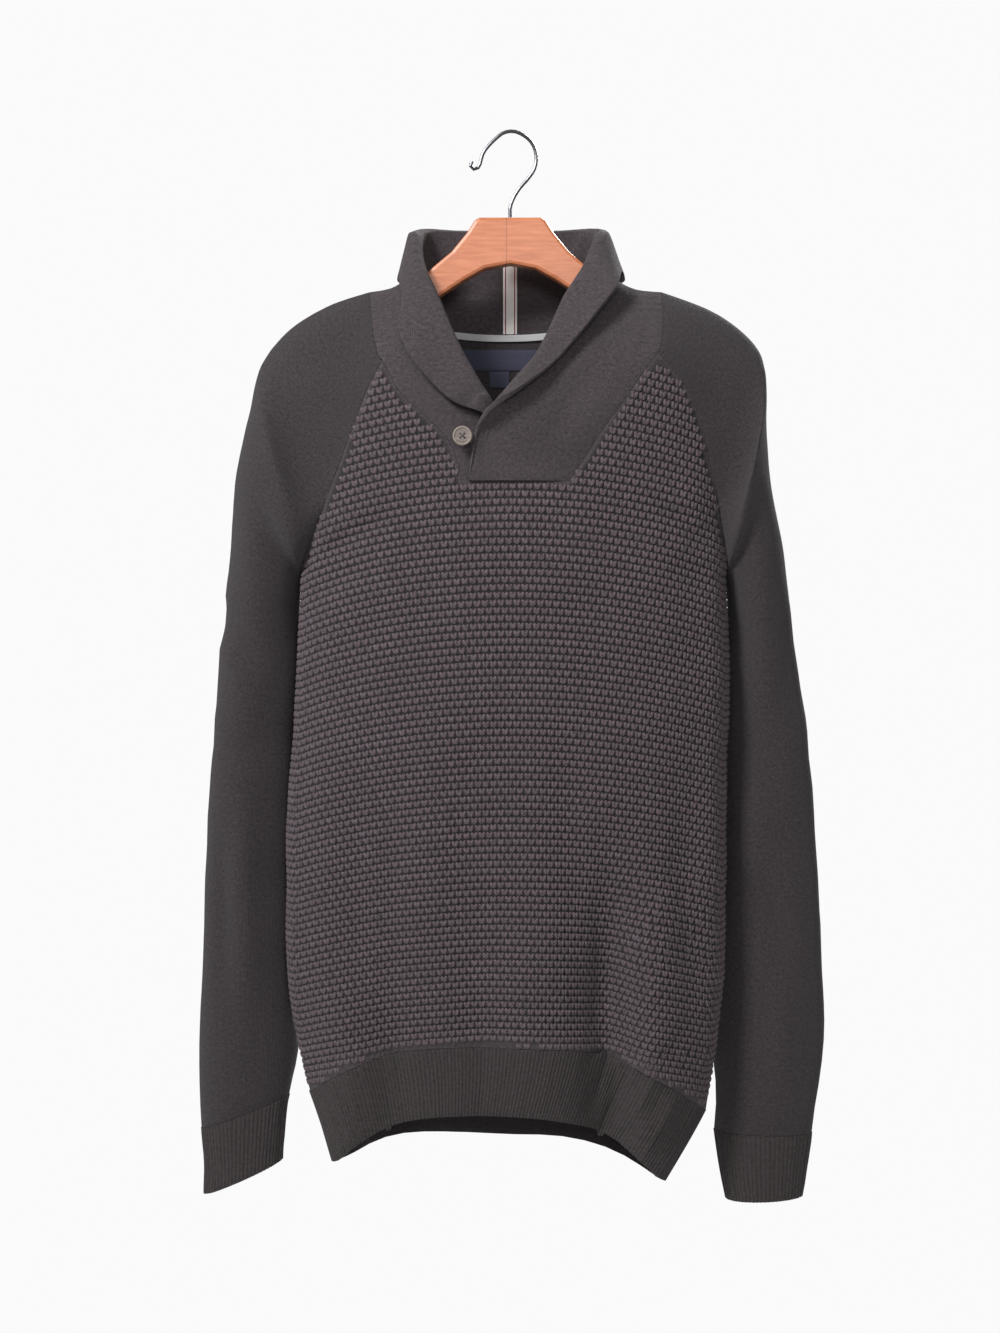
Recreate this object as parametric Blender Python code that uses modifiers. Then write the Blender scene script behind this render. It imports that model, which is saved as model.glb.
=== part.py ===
"""A shawl collar pullover hanging on its wooden hanger.

Every length is in millimetres until it becomes a mesh, which is in metres. The origin is the
inner top of the hook, where the rail carries it. The front faces -Y and +Z is up, so the
wearer's right side is at -X. A panel's outer face comes from a surface function, and its wall is
that face moved inward along directions that neighbouring panels share at their seams, so their
rims stay parallel with SEAM_GAP between them.
"""

import math

import bmesh
import bpy
import numpy as np

MM = 0.001

# Cloth
KNIT_WALL = 2.6
BAND_WALL = 3.0
COLLAR_WALL = 3.6
SEAM_GAP = 0.3
RIB_PITCH = 3.4
RIB_HEIGHT = 0.9
ROLL_RADIUS = 3.0
LEAST_TURN = 5.0
TAPE_WALL = 1.0
LABEL_WALL = 0.8
LYING_GAP = 0.35

# Heights of the garment's landmarks, as levels on the centre line
HEM_LEVEL = -843.0
RIB_LEVEL = -785.0
UNDERARM_LEVEL = -386.0
FRONT_TOP_LEVEL = -204.0
BACK_TOP_LEVEL = -160.0

# How many steps each shape is made with
TORSO_ROWS = 10
BAND_ROWS = 2
RAGLAN_ROWS = 9
NECK_COLUMNS = 9
PLACKET_COLUMNS = 6
BACK_COLUMNS = 9
HALF_RING = 10
TUBE_ROWS = 11
STAND_ROWS = 4
ROLL_ROWS = 4
FALL_ROWS = 2


def table(columns, *rows):
    """Rows of numbers, kept as one array for each named column."""
    return dict(zip(columns.split(), np.array(rows, float).T))


# The body's sides, from the hem up to the underarm, and on up to where they would reach.
SIDE_SEAMS = table(
    "level right_x right_y left_x left_y",
    (-843, -152, -24, 132, -34),
    (-812, -163, -18, 152, -26),
    (-785, -174, -12, 168, -18),
    (-755, -187, -6, 179, -10),
    (-720, -192, 0, 184, -3),
    (-665, -194, 3, 187, 2),
    (-568, -192, 5, 188, 5),
    (-475, -186, 6, 191, 6),
    (-386, -182, 6, 188, 6),
    (-340, -180, 6, 187, 6),
    (-295, -175, 5, 183, 5),
    (-250, -166, 4, 176, 4),
    (-204, -148, 2, 162, 2),
    (-156, -116, 2, 124, 2),
)

# The raglan seams: rise 0 is the underarm and rise 1 the corner at the neck.
FRONT_RAGLANS = table(
    "rise right_x right_z left_x left_z",
    (0.00, -182, -386, 188, -386),
    (0.04, -180, -379, 187, -378),
    (0.13, -173, -362, 184, -358),
    (0.31, -160, -330, 178, -326),
    (0.50, -147, -295, 170, -290),
    (0.70, -133, -258, 161, -250),
    (0.86, -122, -229, 146, -221),
    (1.00, -109, -204, 125, -197),
)
BACK_RAGLANS = table(
    "rise right_x right_z left_x left_z",
    (0.00, -182, -386, 188, -386),
    (0.04, -180, -377, 186, -376),
    (0.15, -171, -352, 178, -350),
    (0.31, -158, -315, 165, -312),
    (0.49, -141, -275, 148, -271),
    (0.69, -121, -230, 128, -226),
    (0.87, -104, -190, 111, -186),
    (1.00, -92, -160, 98, -156),
)

# The way a raglan seam faces, for the front of the right side.
RAGLAN_FACING = table(
    "rise x y z",
    (0.00, 0.0, 0.0, -1.0),
    (0.05, -0.15, -0.45, -0.88),
    (0.15, -0.35, -0.80, -0.48),
    (0.30, -0.40, -0.90, -0.15),
    (0.60, -0.30, -0.95, 0.05),
    (1.00, -0.25, -0.93, 0.25),
)

# Where the middle of the front and of the back lies.
SECTIONS = table(
    "level front_y back_y",
    (-843, -56, 46),
    (-785, -60, 50),
    (-700, -62, 56),
    (-560, -64, 60),
    (-450, -65, 61),
    (-386, -65, 61),
    (-330, -63, 59),
    (-270, -60, 56),
    (-204, -56, 53),
    (-150, -54, 50),
)
END_POWER = 0.62
HANG_LEVEL = -690.0
DROOP_RIGHT = 45.0
DROOP_LEFT = 60.0
DROOP_POWER_RIGHT = 3.5
DROOP_POWER_LEFT = 2.6
BACK_DROP = 36.0

# Folds: each runs from its upper to its lower point; a height below 0 is a valley.
FRONT_FOLDS = table(
    "top_x top_z low_x low_z width height",
    (78, -590, 84, -930, 20, -20),
    (126, -600, 118, -930, 24, 14),
    (24, -560, 20, -930, 30, 6),
    (-140, -690, -136, -930, 26, 12),
    (-104, -540, -100, -860, 15, -5),
    (-17, -640, -22, -860, 13, -4),
)
BACK_FOLDS = table(
    "top_x top_z low_x low_z width height",
    (-84, -270, -112, -930, 34, 9),
    (12, -230, 4, -930, 30, -8),
    (92, -300, 104, -930, 32, 9),
    (-150, -520, -146, -930, 16, -6),
)

# The neckline's curved stretches on the front, and the back neck.
NECK_RIGHT = table(
    "x z", (-109, -204), (-95, -230), (-77, -248), (-64, -261), (-53, -273), (-46, -288), (-41, -308)
)
NECK_LEFT = table("x z", (49, -308), (60, -292), (78, -264), (96, -239), (110, -218), (125, -197))
BACK_NECK = table("x z", (-92, -160), (-60, -167), (0, -171), (62, -165), (98, -156))

# The sleeves: along -1 is the neck, 0 the underarm, and 1 the cuff's edge. The ridge is the
# shoulder line and the sleeve's outer edge; lead and reach are how far a ring bows from the
# armhole and from the ridge, to the front and to the back.
RIGHT_RIDGE = table(
    "along x y z front_lead front_reach back_lead back_reach drop",
    (-1.00, -122, -4, -139, 10, 14, 10, 14, 4),
    (-0.86, -146, -2, -146, 16, 22, 16, 22, 5),
    (-0.70, -172, 0, -157, 22, 30, 22, 30, 6),
    (-0.50, -199, 2, -177, 30, 38, 30, 40, 8),
    (-0.31, -216, 4, -200, 36, 46, 36, 50, 8),
    (-0.13, -226, 6, -238, 44, 52, 46, 56, 6),
    (-0.04, -233, 7, -272, 50, 54, 54, 60, 3),
    (0.00, -238, 8, -302, 54, 54, 58, 62, 0),
    (0.08, -243, 10, -352, 60, 52, 62, 62, 0),
    (0.20, -250, 12, -420, 60, 50, 60, 60, 0),
    (0.32, -257, 14, -490, 56, 48, 56, 56, 0),
    (0.50, -265, 17, -590, 50, 46, 52, 52, 0),
    (0.70, -270, 20, -710, 46, 42, 48, 48, 0),
    (0.84, -274, 20, -800, 44, 40, 44, 44, 0),
    (0.905, -276, 18, -846, 42, 40, 42, 42, 0),
    (0.93, -271, 17, -868, 34, 34, 34, 34, 0),
    (0.96, -269, 16, -895, 32, 32, 32, 32, 0),
    (1.00, -268, 14, -925, 32, 32, 32, 32, 0),
)
RIGHT_INNER = table(
    "along x y z",
    (0.00, -182, 6, -386),
    (0.08, -185, 16, -408),
    (0.20, -189, 26, -452),
    (0.32, -192, 31, -508),
    (0.50, -195, 34, -598),
    (0.70, -196, 34, -712),
    (0.84, -194, 32, -794),
    (0.905, -191, 28, -826),
    (0.93, -195, 24, -840),
    (0.96, -198, 20, -866),
    (1.00, -200, 18, -896),
)
LEFT_RIDGE = table(
    "along x y z front_lead front_reach back_lead back_reach drop",
    (-1.00, 131, -4, -139, 10, 14, 10, 14, 4),
    (-0.86, 155, -2, -147, 16, 22, 16, 22, 5),
    (-0.70, 180, 0, -158, 22, 30, 22, 30, 6),
    (-0.50, 205, 2, -176, 30, 38, 30, 40, 8),
    (-0.31, 219, 4, -194, 36, 46, 36, 50, 8),
    (-0.13, 223, 6, -232, 44, 52, 46, 56, 6),
    (-0.04, 223, 7, -265, 50, 54, 54, 60, 3),
    (0.00, 226, 8, -295, 54, 54, 58, 62, 0),
    (0.08, 235, 10, -345, 58, 52, 62, 62, 0),
    (0.20, 245, 12, -412, 58, 50, 60, 60, 0),
    (0.32, 256, 14, -488, 56, 48, 56, 56, 0),
    (0.50, 266, 17, -590, 52, 46, 52, 52, 0),
    (0.70, 273, 20, -710, 48, 44, 48, 48, 0),
    (0.84, 276, 20, -796, 46, 42, 46, 44, 0),
    (0.905, 271, 18, -848, 44, 40, 42, 42, 0),
    (0.93, 264, 17, -872, 36, 34, 34, 34, 0),
    (0.96, 261, 16, -900, 34, 32, 32, 32, 0),
    (1.00, 256, 14, -926, 34, 32, 32, 32, 0),
)
LEFT_INNER = table(
    "along x y z",
    (0.00, 188, 6, -386),
    (0.08, 191, 16, -408),
    (0.20, 195, 26, -452),
    (0.32, 196, 31, -508),
    (0.50, 194, 34, -598),
    (0.70, 191, 34, -712),
    (0.84, 186, 32, -798),
    (0.905, 181, 28, -854),
    (0.93, 180, 24, -871),
    (0.96, 183, 20, -900),
    (1.00, 188, 18, -930),
)
CUFF_ALONG = 0.93

# The collar: along 0 is the centre back, 1 the back raglan corner, 2 the front raglan corner and
# 3 the placket's bottom corner. The stand bends at its bend point up to the roll, and the cloth
# turns over there and falls.
RIGHT_COLLAR = table(
    "along bend_x bend_y bend_z roll_x roll_y roll_z fall turn",
    (0.00, 0, 52, -130, 0, 53, -80, 50, 174),
    (0.50, -46, 50, -128, -43, 51, -80, 50, 174),
    (1.00, -84, 40, -138, -75, 38, -82, 46, 170),
    (1.25, -84, 20, -142, -80, 20, -88, 38, 168),
    (1.50, -82, -2, -137, -80, 0, -95, 32, 168),
    (1.75, -88, -24, -160, -76, -16, -125, 34, 170),
    (2.00, -93, -42, -192, -64, -34, -158, 42, 172),
    (2.35, -66, -53, -226, -44, -49, -204, 33, 174),
    (2.60, -49, -57, -250, -29, -56, -231, 21, 174),
    (2.76, -38, -58, -266, -20, -56, -246, 8, 170),
    (2.90, -24, -56, -289, -8, -55, -280, 8, 20),
    (3.00, -12, -57, -308, 8, -57, -308, 10, 0),
)
LEFT_COLLAR = table(
    "along bend_x bend_y bend_z roll_x roll_y roll_z fall turn",
    (0.00, 0, 52, -130, 0, 53, -80, 50, 174),
    (0.50, 46, 50, -128, 43, 51, -80, 50, 174),
    (1.00, 86, 40, -136, 75, 38, -82, 46, 170),
    (1.25, 86, 20, -141, 78, 20, -88, 38, 168),
    (1.50, 84, -2, -140, 76, 0, -95, 33, 166),
    (1.75, 100, -26, -156, 68, -14, -122, 36, 165),
    (2.00, 90, -44, -186, 50, -32, -154, 30, 168),
    (2.20, 80, -53, -207, 38, -44, -182, 20, 172),
    (2.40, 62, -60, -233, 24, -55, -208, 12, 172),
    (2.60, 46, -68, -257, 4, -73, -233, 7, 150),
    (2.80, 28, -72, -283, -10, -73, -256, 4, 70),
    (2.92, 18, -68, -298, -19, -65, -279, 4, 14),
    (3.00, 8, -68, -308, -21, -65, -308, 5, 0),
)

# The way the neck seam faces, for the right side.
NECK_FACING = table(
    "along x y z",
    (0.00, 0.0, 1.0, 0.05),
    (0.60, -0.10, 0.97, 0.15),
    (1.00, -0.20, 0.88, 0.45),
    (1.25, -0.25, 0.55, 0.80),
    (1.50, -0.25, 0.0, 0.97),
    (1.75, -0.35, -0.62, 0.70),
    (2.00, -0.25, -0.93, 0.27),
    (2.40, -0.10, -0.99, 0.0),
    (3.00, 0.0, -1.0, 0.0),
)

# The wooden hanger: its upper and lower edges, from the middle out.
HANGER_DEPTH = 15.0
HANGER_EDGE = 3.0
HANGER_TOP = table(
    "x z",
    (0, -74.4), (27, -74.4), (31, -77), (38, -88), (51, -104), (66, -116.5), (80, -129),
    (100, -143.5), (124, -152), (150, -157), (178, -168), (198, -184), (207, -196),
)
HANGER_LOW = table(
    "x z",
    (0, -115), (22, -119), (40, -129), (55, -139), (70, -148.5), (90, -160), (120, -170),
    (150, -179), (175, -190), (192, -203), (203, -212),
)

# The hook: the middle of its wire, from the hanger up and round to the eye at its tip.
WIRE = 3.2
HOOK = table(
    "x z",
    (0, -74.1), (0, -64), (3, -56), (8, -48), (15, -40), (20.5, -32), (22.5, -24), (22, -16),
    (18, -7.5), (11, -1.5), (3, 1.6), (-6, 0.3), (-13, -5), (-19, -11), (-23.5, -17),
    (-25.5, -23), (-27, -28.5), (-29.5, -31.2), (-32.8, -31), (-34.6, -28.2), (-33.6, -24.6),
)
HOOK_POINTS = 38

# The button
BUTTON_DIAMETER = 16.5
BUTTON_THICKNESS = 3.4
BUTTON_RIM = 1.9
BUTTON_DISH = 0.9
BUTTON_HOLE = 1.7
BUTTON_HOLE_SPACING = 3.6
BUTTON_PLACE = (-40.5, -68.4, -271.0)
SHANK_DIAMETER = 3.2
SHANK_LENGTH = 9.7

# Tapes and labels
NECK_TAPE_HEIGHT = 6.0
NECK_TAPE_ALONG = 0.9
BACK_TAPE_WIDTH = 12.5
BACK_TAPE_TOP = -92.0
LABEL = {"centre_x": -9.5, "top": -181.0, "width": 67.0, "height": 18.5}
SIZE_LABEL = {"centre_x": -9.5, "top": -200.2, "width": 18.0, "height": 14.5}

# Finishes: colour (sRGB), roughness, metallic
FINISHES = {
    "basket_knit": ((0.33, 0.29, 0.31), 0.95, 0.0),
    "plain_knit": ((0.30, 0.28, 0.29), 0.95, 0.0),
    "rib_knit": ((0.25, 0.23, 0.23), 0.95, 0.0),
    "collar_knit": ((0.36, 0.33, 0.35), 0.95, 0.0),
    "grey_tape": ((0.74, 0.74, 0.75), 0.85, 0.0),
    "striped_tape": ((0.86, 0.85, 0.83), 0.85, 0.0),
    "navy_label": ((0.16, 0.16, 0.22), 0.8, 0.0),
    "horn": ((0.55, 0.50, 0.47), 0.4, 0.0),
    "beech": ((0.89, 0.60, 0.44), 0.45, 0.0),
    "steel": ((0.75, 0.75, 0.76), 0.2, 1.0),
}

RIGHT, LEFT = "right", "left"


# ---------------------------------------------------------------- curves and directions


def smooth(rows, key, at, *columns):
    """The named columns at the places `at`, on a smooth curve through the table's rows."""
    x = rows[key]
    at = np.clip(np.asarray(at, float), x[0], x[-1])
    i = np.clip(np.searchsorted(x, at, side="right") - 1, 0, len(x) - 2)
    step = x[i + 1] - x[i]
    s = (at - x[i]) / step
    values = []
    for column in columns:
        y = rows[column]
        slope = np.gradient(y, x)
        start = (1 + 2 * s) * (1 - s) ** 2 * y[i] + s * (1 - s) ** 2 * step * slope[i]
        end = s * s * (3 - 2 * s) * y[i + 1] - s * s * (1 - s) * step * slope[i + 1]
        values.append(start + end)
    return np.stack(values, axis=-1)


def unit(vectors):
    """Vectors at length 1."""
    vectors = np.asarray(vectors, float)
    return vectors / np.linalg.norm(vectors, axis=-1, keepdims=True)


def across(directions, tangents):
    """Directions turned square to the tangents, at length 1."""
    along = np.sum(directions * tangents, axis=-1, keepdims=True)
    return unit(directions - along * tangents)


def tangents_of(points):
    """The way a row of points runs, at each of them."""
    return unit(np.gradient(np.asarray(points, float), axis=0))


def evenly(points, count):
    """`count` steps of equal length along a row of points."""
    points = np.asarray(points, float)
    lengths = np.concatenate([[0], np.cumsum(np.linalg.norm(np.diff(points, axis=0), axis=1))])
    at = np.linspace(0, lengths[-1], count + 1)
    return np.stack([np.interp(at, lengths, column) for column in points.T], axis=1)


def fade(value, start, end):
    """0 at start, 1 at end, with soft ends."""
    s = np.clip((value - start) / (end - start), 0, 1)
    return s * s * (3 - 2 * s)


def bezier(points, steps):
    """A Bezier curve of any order, as steps + 1 points."""
    t = np.linspace(0, 1, steps + 1)[:, None]
    order = len(points) - 1
    return sum(
        math.comb(order, k) * (1 - t) ** (order - k) * t**k * np.asarray(point, float)
        for k, point in enumerate(points)
    )


# ---------------------------------------------------------------- the body's surface


def sides_at(z):
    """The body's two sides at a height: x and y of the right one, then of the left one."""
    return np.moveaxis(smooth(SIDE_SEAMS, "level", z, "right_x", "right_y", "left_x", "left_y"), -1, 0)


def skin(panel, angle, z):
    """The body's outer face: angle 0 is its right side and pi its left side."""
    right_x, right_y, left_x, left_y = sides_at(z)
    share = (1 - np.cos(angle)) / 2
    side_y = right_y + (left_y - right_y) * share
    middle_y = smooth(SECTIONS, "level", z, panel + "_y")[..., 0]
    y = side_y + (middle_y - side_y) * np.clip(np.sin(angle), 0, 1) ** END_POWER
    return np.stack([right_x + (left_x - right_x) * share, y, z], axis=-1)


def skin_angle(x, z):
    """The angle at which the body's outer face has this x."""
    right_x, _, left_x, _ = sides_at(z)
    return np.arccos(1 - 2 * np.clip((x - right_x) / (left_x - right_x), 0, 1))


def raglan(panel, side, rise):
    """Points of the front's or back's raglan seam on one side, on the body's outer face."""
    rows = FRONT_RAGLANS if panel == "front" else BACK_RAGLANS
    x, z = np.moveaxis(smooth(rows, "rise", rise, side + "_x", side + "_z"), -1, 0)
    return skin(panel, skin_angle(x, z), z)


def side_seam(side, level):
    """Points of a side seam."""
    x, y = np.moveaxis(smooth(SIDE_SEAMS, "level", level, side + "_x", side + "_y"), -1, 0)
    return np.stack([x, y, np.asarray(level, float)], axis=-1)


def top_level(panel):
    return FRONT_TOP_LEVEL if panel == "front" else BACK_TOP_LEVEL


def fold_height(folds, x, z):
    """The height of the folds at places on a panel."""
    total = np.zeros_like(x)
    for top_x, top_z, low_x, low_z, width, height in zip(*folds.values()):
        run = (top_z - z) / (top_z - low_z)
        middle = top_x + (low_x - top_x) * run
        strength = fade(run, 0, 0.45) * (1 - fade(run, 0.93, 1.05))
        total += height * strength * np.exp(-(((x - middle) / width) ** 2))
    return total


def panel_edges(panel, level):
    """Angle and height of a panel's right and left edges: side seams, then raglan seams."""
    rise = (level - UNDERARM_LEVEL) / (top_level(panel) - UNDERARM_LEVEL)
    edges = []
    for side, side_angle in ((RIGHT, 0.0), (LEFT, math.pi)):
        seam = raglan(panel, side, np.maximum(rise, 0))
        angle = np.where(rise > 0, skin_angle(seam[..., 0], seam[..., 2]), side_angle)
        edges += [angle, np.where(rise > 0, seam[..., 2], level)]
    return edges


def body_point(panel, u, level):
    """The outer face of the front or back: u runs from the right edge to the left one."""
    u, level = np.broadcast_arrays(np.asarray(u, float), np.asarray(level, float))
    right_angle, right_z, left_angle, left_z = panel_edges(panel, level)
    angle = right_angle + (left_angle - right_angle) * u
    point = skin(panel, angle, right_z + (left_z - right_z) * u)
    hang = fade(level, HANG_LEVEL, RIB_LEVEL)
    turn = np.cos(angle)
    right_corner = np.clip(turn, 0, 1) ** DROOP_POWER_RIGHT
    left_corner = np.clip(-turn, 0, 1) ** DROOP_POWER_LEFT
    point[..., 2] -= hang * (DROOP_RIGHT * right_corner + DROOP_LEFT * left_corner)
    if panel == "back":
        point[..., 2] -= BACK_DROP * hang * np.sin(angle)
    folds, way = (FRONT_FOLDS, -1) if panel == "front" else (BACK_FOLDS, 1)
    clear_of_edge = fade(np.sin(math.pi * np.clip(u, 0, 1)), 0, 0.45)
    point[..., 1] += way * clear_of_edge * fold_height(folds, point[..., 0], point[..., 2])
    return point


def body_facing(panel, u, level):
    """The way the outer face looks."""
    nudge = 2e-3
    u = np.clip(u, nudge, 1 - nudge)
    along = body_point(panel, u + nudge, level) - body_point(panel, u - nudge, level)
    up = body_point(panel, u, level + 0.5) - body_point(panel, u, level - 0.5)
    facing = unit(np.cross(along, up))
    return facing if panel == "front" else -facing


# ---------------------------------------------------------------- seams


def raglan_rises():
    """The rises of the raglan rows, closer together at the underarm."""
    return (np.arange(RAGLAN_ROWS + 1) / RAGLAN_ROWS) ** 1.4


def mirrored(vectors, side, panel="front"):
    """Vectors given for the front of the right side, for another side or panel."""
    flip = np.array([1.0 if side == RIGHT else -1.0, 1.0 if panel == "front" else -1.0, 1.0])
    return vectors * flip


def raglan_seam(panel, side):
    """A raglan seam's points, its facing, and the way from it into the sleeve."""
    rises = raglan_rises()
    points = raglan(panel, side, rises)
    fine = raglan(panel, side, np.clip(rises + 1e-3, 0, 1)) - raglan(
        panel, side, np.clip(rises - 1e-3, 0, 1)
    )
    run = unit(fine)
    run[0] = (0, -1, 0) if panel == "front" else (0, 1, 0)
    facing = across(mirrored(smooth(RAGLAN_FACING, "rise", rises, "x", "y", "z"), side, panel), run)
    into_sleeve = unit(np.cross(run, facing))
    outward = -1.0 if side == RIGHT else 1.0
    into_sleeve *= np.where(into_sleeve[:, :1] * outward > 0, 1, -1)
    return points, facing, into_sleeve


def neck_columns():
    """The front's columns, as places across it and the levels of their tops on the neckline."""
    down = evenly(neck_stretch(NECK_RIGHT), NECK_COLUMNS)
    up = evenly(neck_stretch(NECK_LEFT), NECK_COLUMNS)
    bottom = np.linspace(down[-1], up[0], PLACKET_COLUMNS + 1)[1:-1]
    return to_corners("front", *columns_under("front", np.concatenate([down, bottom, up])))


def back_columns():
    """The back's columns, as places across it and the levels of their tops."""
    stretch = neck_stretch(BACK_NECK)
    middle = np.argmin(np.abs(stretch[:, 0]))
    right = evenly(stretch[: middle + 1], BACK_COLUMNS)
    left = evenly(stretch[middle:], BACK_COLUMNS)
    return to_corners("back", *columns_under("back", np.concatenate([right, left[1:]])))


def to_corners(panel, u, level):
    """Columns whose first and last end exactly in the panel's upper corners."""
    u[[0, -1]] = 0, 1
    level[[0, -1]] = top_level(panel)
    return u, level


def neck_stretch(rows):
    """A neckline as a smooth row of x and z."""
    x = np.unique(np.append(np.linspace(rows["x"][0], rows["x"][-1], 160), rows["x"]))
    return np.stack([x, smooth(rows, "x", x, "z")[:, 0]], axis=1)


def columns_under(panel, places):
    """Where on the panel the places x, z lie, as columns and levels."""
    x, z = places.T
    level = z.copy()
    for _ in range(40):
        right_angle, right_z, left_angle, left_z = panel_edges(panel, level)
        u = np.clip((skin_angle(x, z) - right_angle) / (left_angle - right_angle), 0, 1)
        level = np.minimum(level + z - (right_z + (left_z - right_z) * u), top_level(panel))
    return u, level


def neck_seam(side):
    """One half of the neck seam from the centre back to the placket: points and places along."""
    u, level = back_columns()
    back = body_point("back", u, level)
    half = back[: BACK_COLUMNS + 1][::-1] if side == RIGHT else back[BACK_COLUMNS:]
    over = sleeve_ring(side, -1.0)[::-1]
    u, level = neck_columns()
    front = body_point("front", u, level)
    down = front[: NECK_COLUMNS + 1] if side == RIGHT else front[-NECK_COLUMNS - 1 :][::-1]
    points = np.concatenate([half, over[1:], down[1:]])
    places = np.concatenate(
        [
            np.linspace(0, 1, len(half)),
            np.linspace(1, 2, len(over))[1:],
            np.linspace(2, 3, len(down))[1:],
        ]
    )
    return points, places


def neck_frame(side):
    """The neck seam's points, its facing, the way from it into the collar, and the places."""
    points, places = neck_seam(side)
    run = tangents_of(points)
    run[0] = (-1, 0, 0) if side == RIGHT else (1, 0, 0)
    facing = across(mirrored(smooth(NECK_FACING, "along", places, "x", "y", "z"), side), run)
    into_collar = unit(np.cross(run, facing)) * (-1 if side == RIGHT else 1)
    return points, facing, into_collar, places


# ---------------------------------------------------------------- the sleeves' surface


def sleeve_ring(side, along, steps=HALF_RING):
    """A sleeve's ring from the front armhole over the ridge to the back armhole."""
    ridge_rows = RIGHT_RIDGE if side == RIGHT else LEFT_RIDGE
    inner_rows = RIGHT_INNER if side == RIGHT else LEFT_INNER
    x, y, z, front_lead, front_reach, back_lead, back_reach, drop = smooth(
        ridge_rows, "along", along,
        "x", "y", "z", "front_lead", "front_reach", "back_lead", "back_reach", "drop",
    )
    ridge = np.array([x, y, z])
    rise = max(-along, 0.0)
    halves = []
    for panel, way, lead, reach in (
        ("front", -1.0, front_lead, front_reach), ("back", 1.0, back_lead, back_reach),
    ):
        if along < 0:
            start = raglan(panel, side, rise)
            run = raglan(panel, side, min(rise + 1e-3, 1)) - raglan(panel, side, max(rise - 1e-3, 0))
            facing = mirrored(smooth(RAGLAN_FACING, "rise", rise, "x", "y", "z"), side, panel)
            out = unit(np.cross(unit(run), facing))
            out *= 1 if out[0] * (-1 if side == RIGHT else 1) > 0 else -1
            turn = fade(rise, 0, 0.5)
            out = unit(out * turn + np.array([0, way, 0]) * (1 - turn))
        else:
            start = smooth(inner_rows, "along", along, "x", "y", "z")
            out = np.array([0, way, 0])
        near_ridge = ridge + np.array([0, way * reach, -drop])
        halves.append(bezier([start, start + out * lead, near_ridge, ridge], steps))
    return np.concatenate([halves[0], halves[1][::-1][1:]])


def sleeve_places():
    """The places of a sleeve's rings: the raglan's rows, then the rows down to the cuff seam."""
    cap = -raglan_rises()[::-1]
    tube = CUFF_ALONG * (np.arange(1, TUBE_ROWS + 1) / TUBE_ROWS) ** 1.15
    return np.concatenate([cap, tube])


def ring_facing(rings, closed_from):
    """The way a stack of rings looks; rings from `closed_from` on are closed."""
    down = np.gradient(rings, axis=0)
    around = np.gradient(rings, axis=1)
    wrapped = rings[closed_from:, 1] - rings[closed_from:, -2]
    around[closed_from:, 0] = wrapped
    around[closed_from:, -1] = wrapped
    facing = unit(np.cross(around, down))
    middle = rings.mean(axis=1, keepdims=True)
    outward = np.sum(facing * (rings - middle), axis=-1).mean()
    return facing if outward > 0 else -facing


# ---------------------------------------------------------------- meshes


def finish(name):
    """The material of this name."""
    if name in bpy.data.materials:
        return bpy.data.materials[name]
    colour, roughness, metallic = FINISHES[name]
    material = bpy.data.materials.new(name)
    material.use_nodes = True
    shader = material.node_tree.nodes["Principled BSDF"]
    linear = [((c + 0.055) / 1.055) ** 2.4 for c in colour]
    shader.inputs["Base Color"].default_value = (*linear, 1.0)
    shader.inputs["Roughness"].default_value = roughness
    shader.inputs["Metallic"].default_value = metallic
    return material


def add_object(name, mesh, finish_name, collection):
    """A new object of a mesh in the collection, smooth but for its edges."""
    mesh.materials.clear()
    mesh.materials.append(finish(finish_name))
    thing = bpy.data.objects.new(name, mesh)
    collection.objects.link(thing)
    mesh.shade_smooth()
    mesh.set_sharp_from_angle(angle=math.radians(40))
    return thing


def add_wall(name, outer, inner, finish_name, collection, spans=None, closed_from=None):
    """A closed wall between an outer and an inner grid of points, in millimetres.

    The outer grid may have more columns: spans then gives each inner column's place among them.
    Rows from `closed_from` on are rings, whose first and last points are one.
    """
    rows, inner_columns = inner.shape[:2]
    outer_columns = outer.shape[1]
    spans = list(range(outer_columns)) if spans is None else list(spans)
    closed_from = rows if closed_from is None else closed_from
    mesh = bmesh.new()

    def vertices(grid, columns):
        made = []
        for i in range(rows):
            line = [mesh.verts.new(grid[i, j] * MM) for j in range(columns - (i >= closed_from))]
            made.append(line + ([line[0]] if i >= closed_from else []))
        return made

    out, into = vertices(outer, outer_columns), vertices(inner, inner_columns)

    def face(*corners):
        corners = list(dict.fromkeys(corners))
        if len(corners) > 2:
            mesh.faces.new(corners)

    for i in range(rows - 1):
        for j in range(outer_columns - 1):
            face(out[i][j], out[i][j + 1], out[i + 1][j + 1], out[i + 1][j])
        for j in range(inner_columns - 1):
            face(into[i][j], into[i + 1][j], into[i + 1][j + 1], into[i][j + 1])
        if i < closed_from:
            for j, k in ((0, 0), (outer_columns - 1, inner_columns - 1)):
                face(out[i][j], out[i + 1][j], into[i + 1][k], into[i][k])
    for i in (0, rows - 1):
        for j in range(inner_columns - 1):
            first, last = spans[j], spans[j + 1]
            middle = (first + last) // 2
            face(into[i][j], into[i][j + 1], out[i][middle] if last > first + 1 else out[i][last])
            for k in range(first, last):
                near = j if (k < middle or last == first + 1) else j + 1
                face(into[i][near], out[i][k], out[i][k + 1])
    bmesh.ops.recalc_face_normals(mesh, faces=mesh.faces)
    if mesh.calc_volume(signed=True) < 0:
        bmesh.ops.reverse_faces(mesh, faces=mesh.faces)
    data = bpy.data.meshes.new(name)
    mesh.to_mesh(data)
    mesh.free()
    return add_object(name, data, finish_name, collection)


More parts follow.
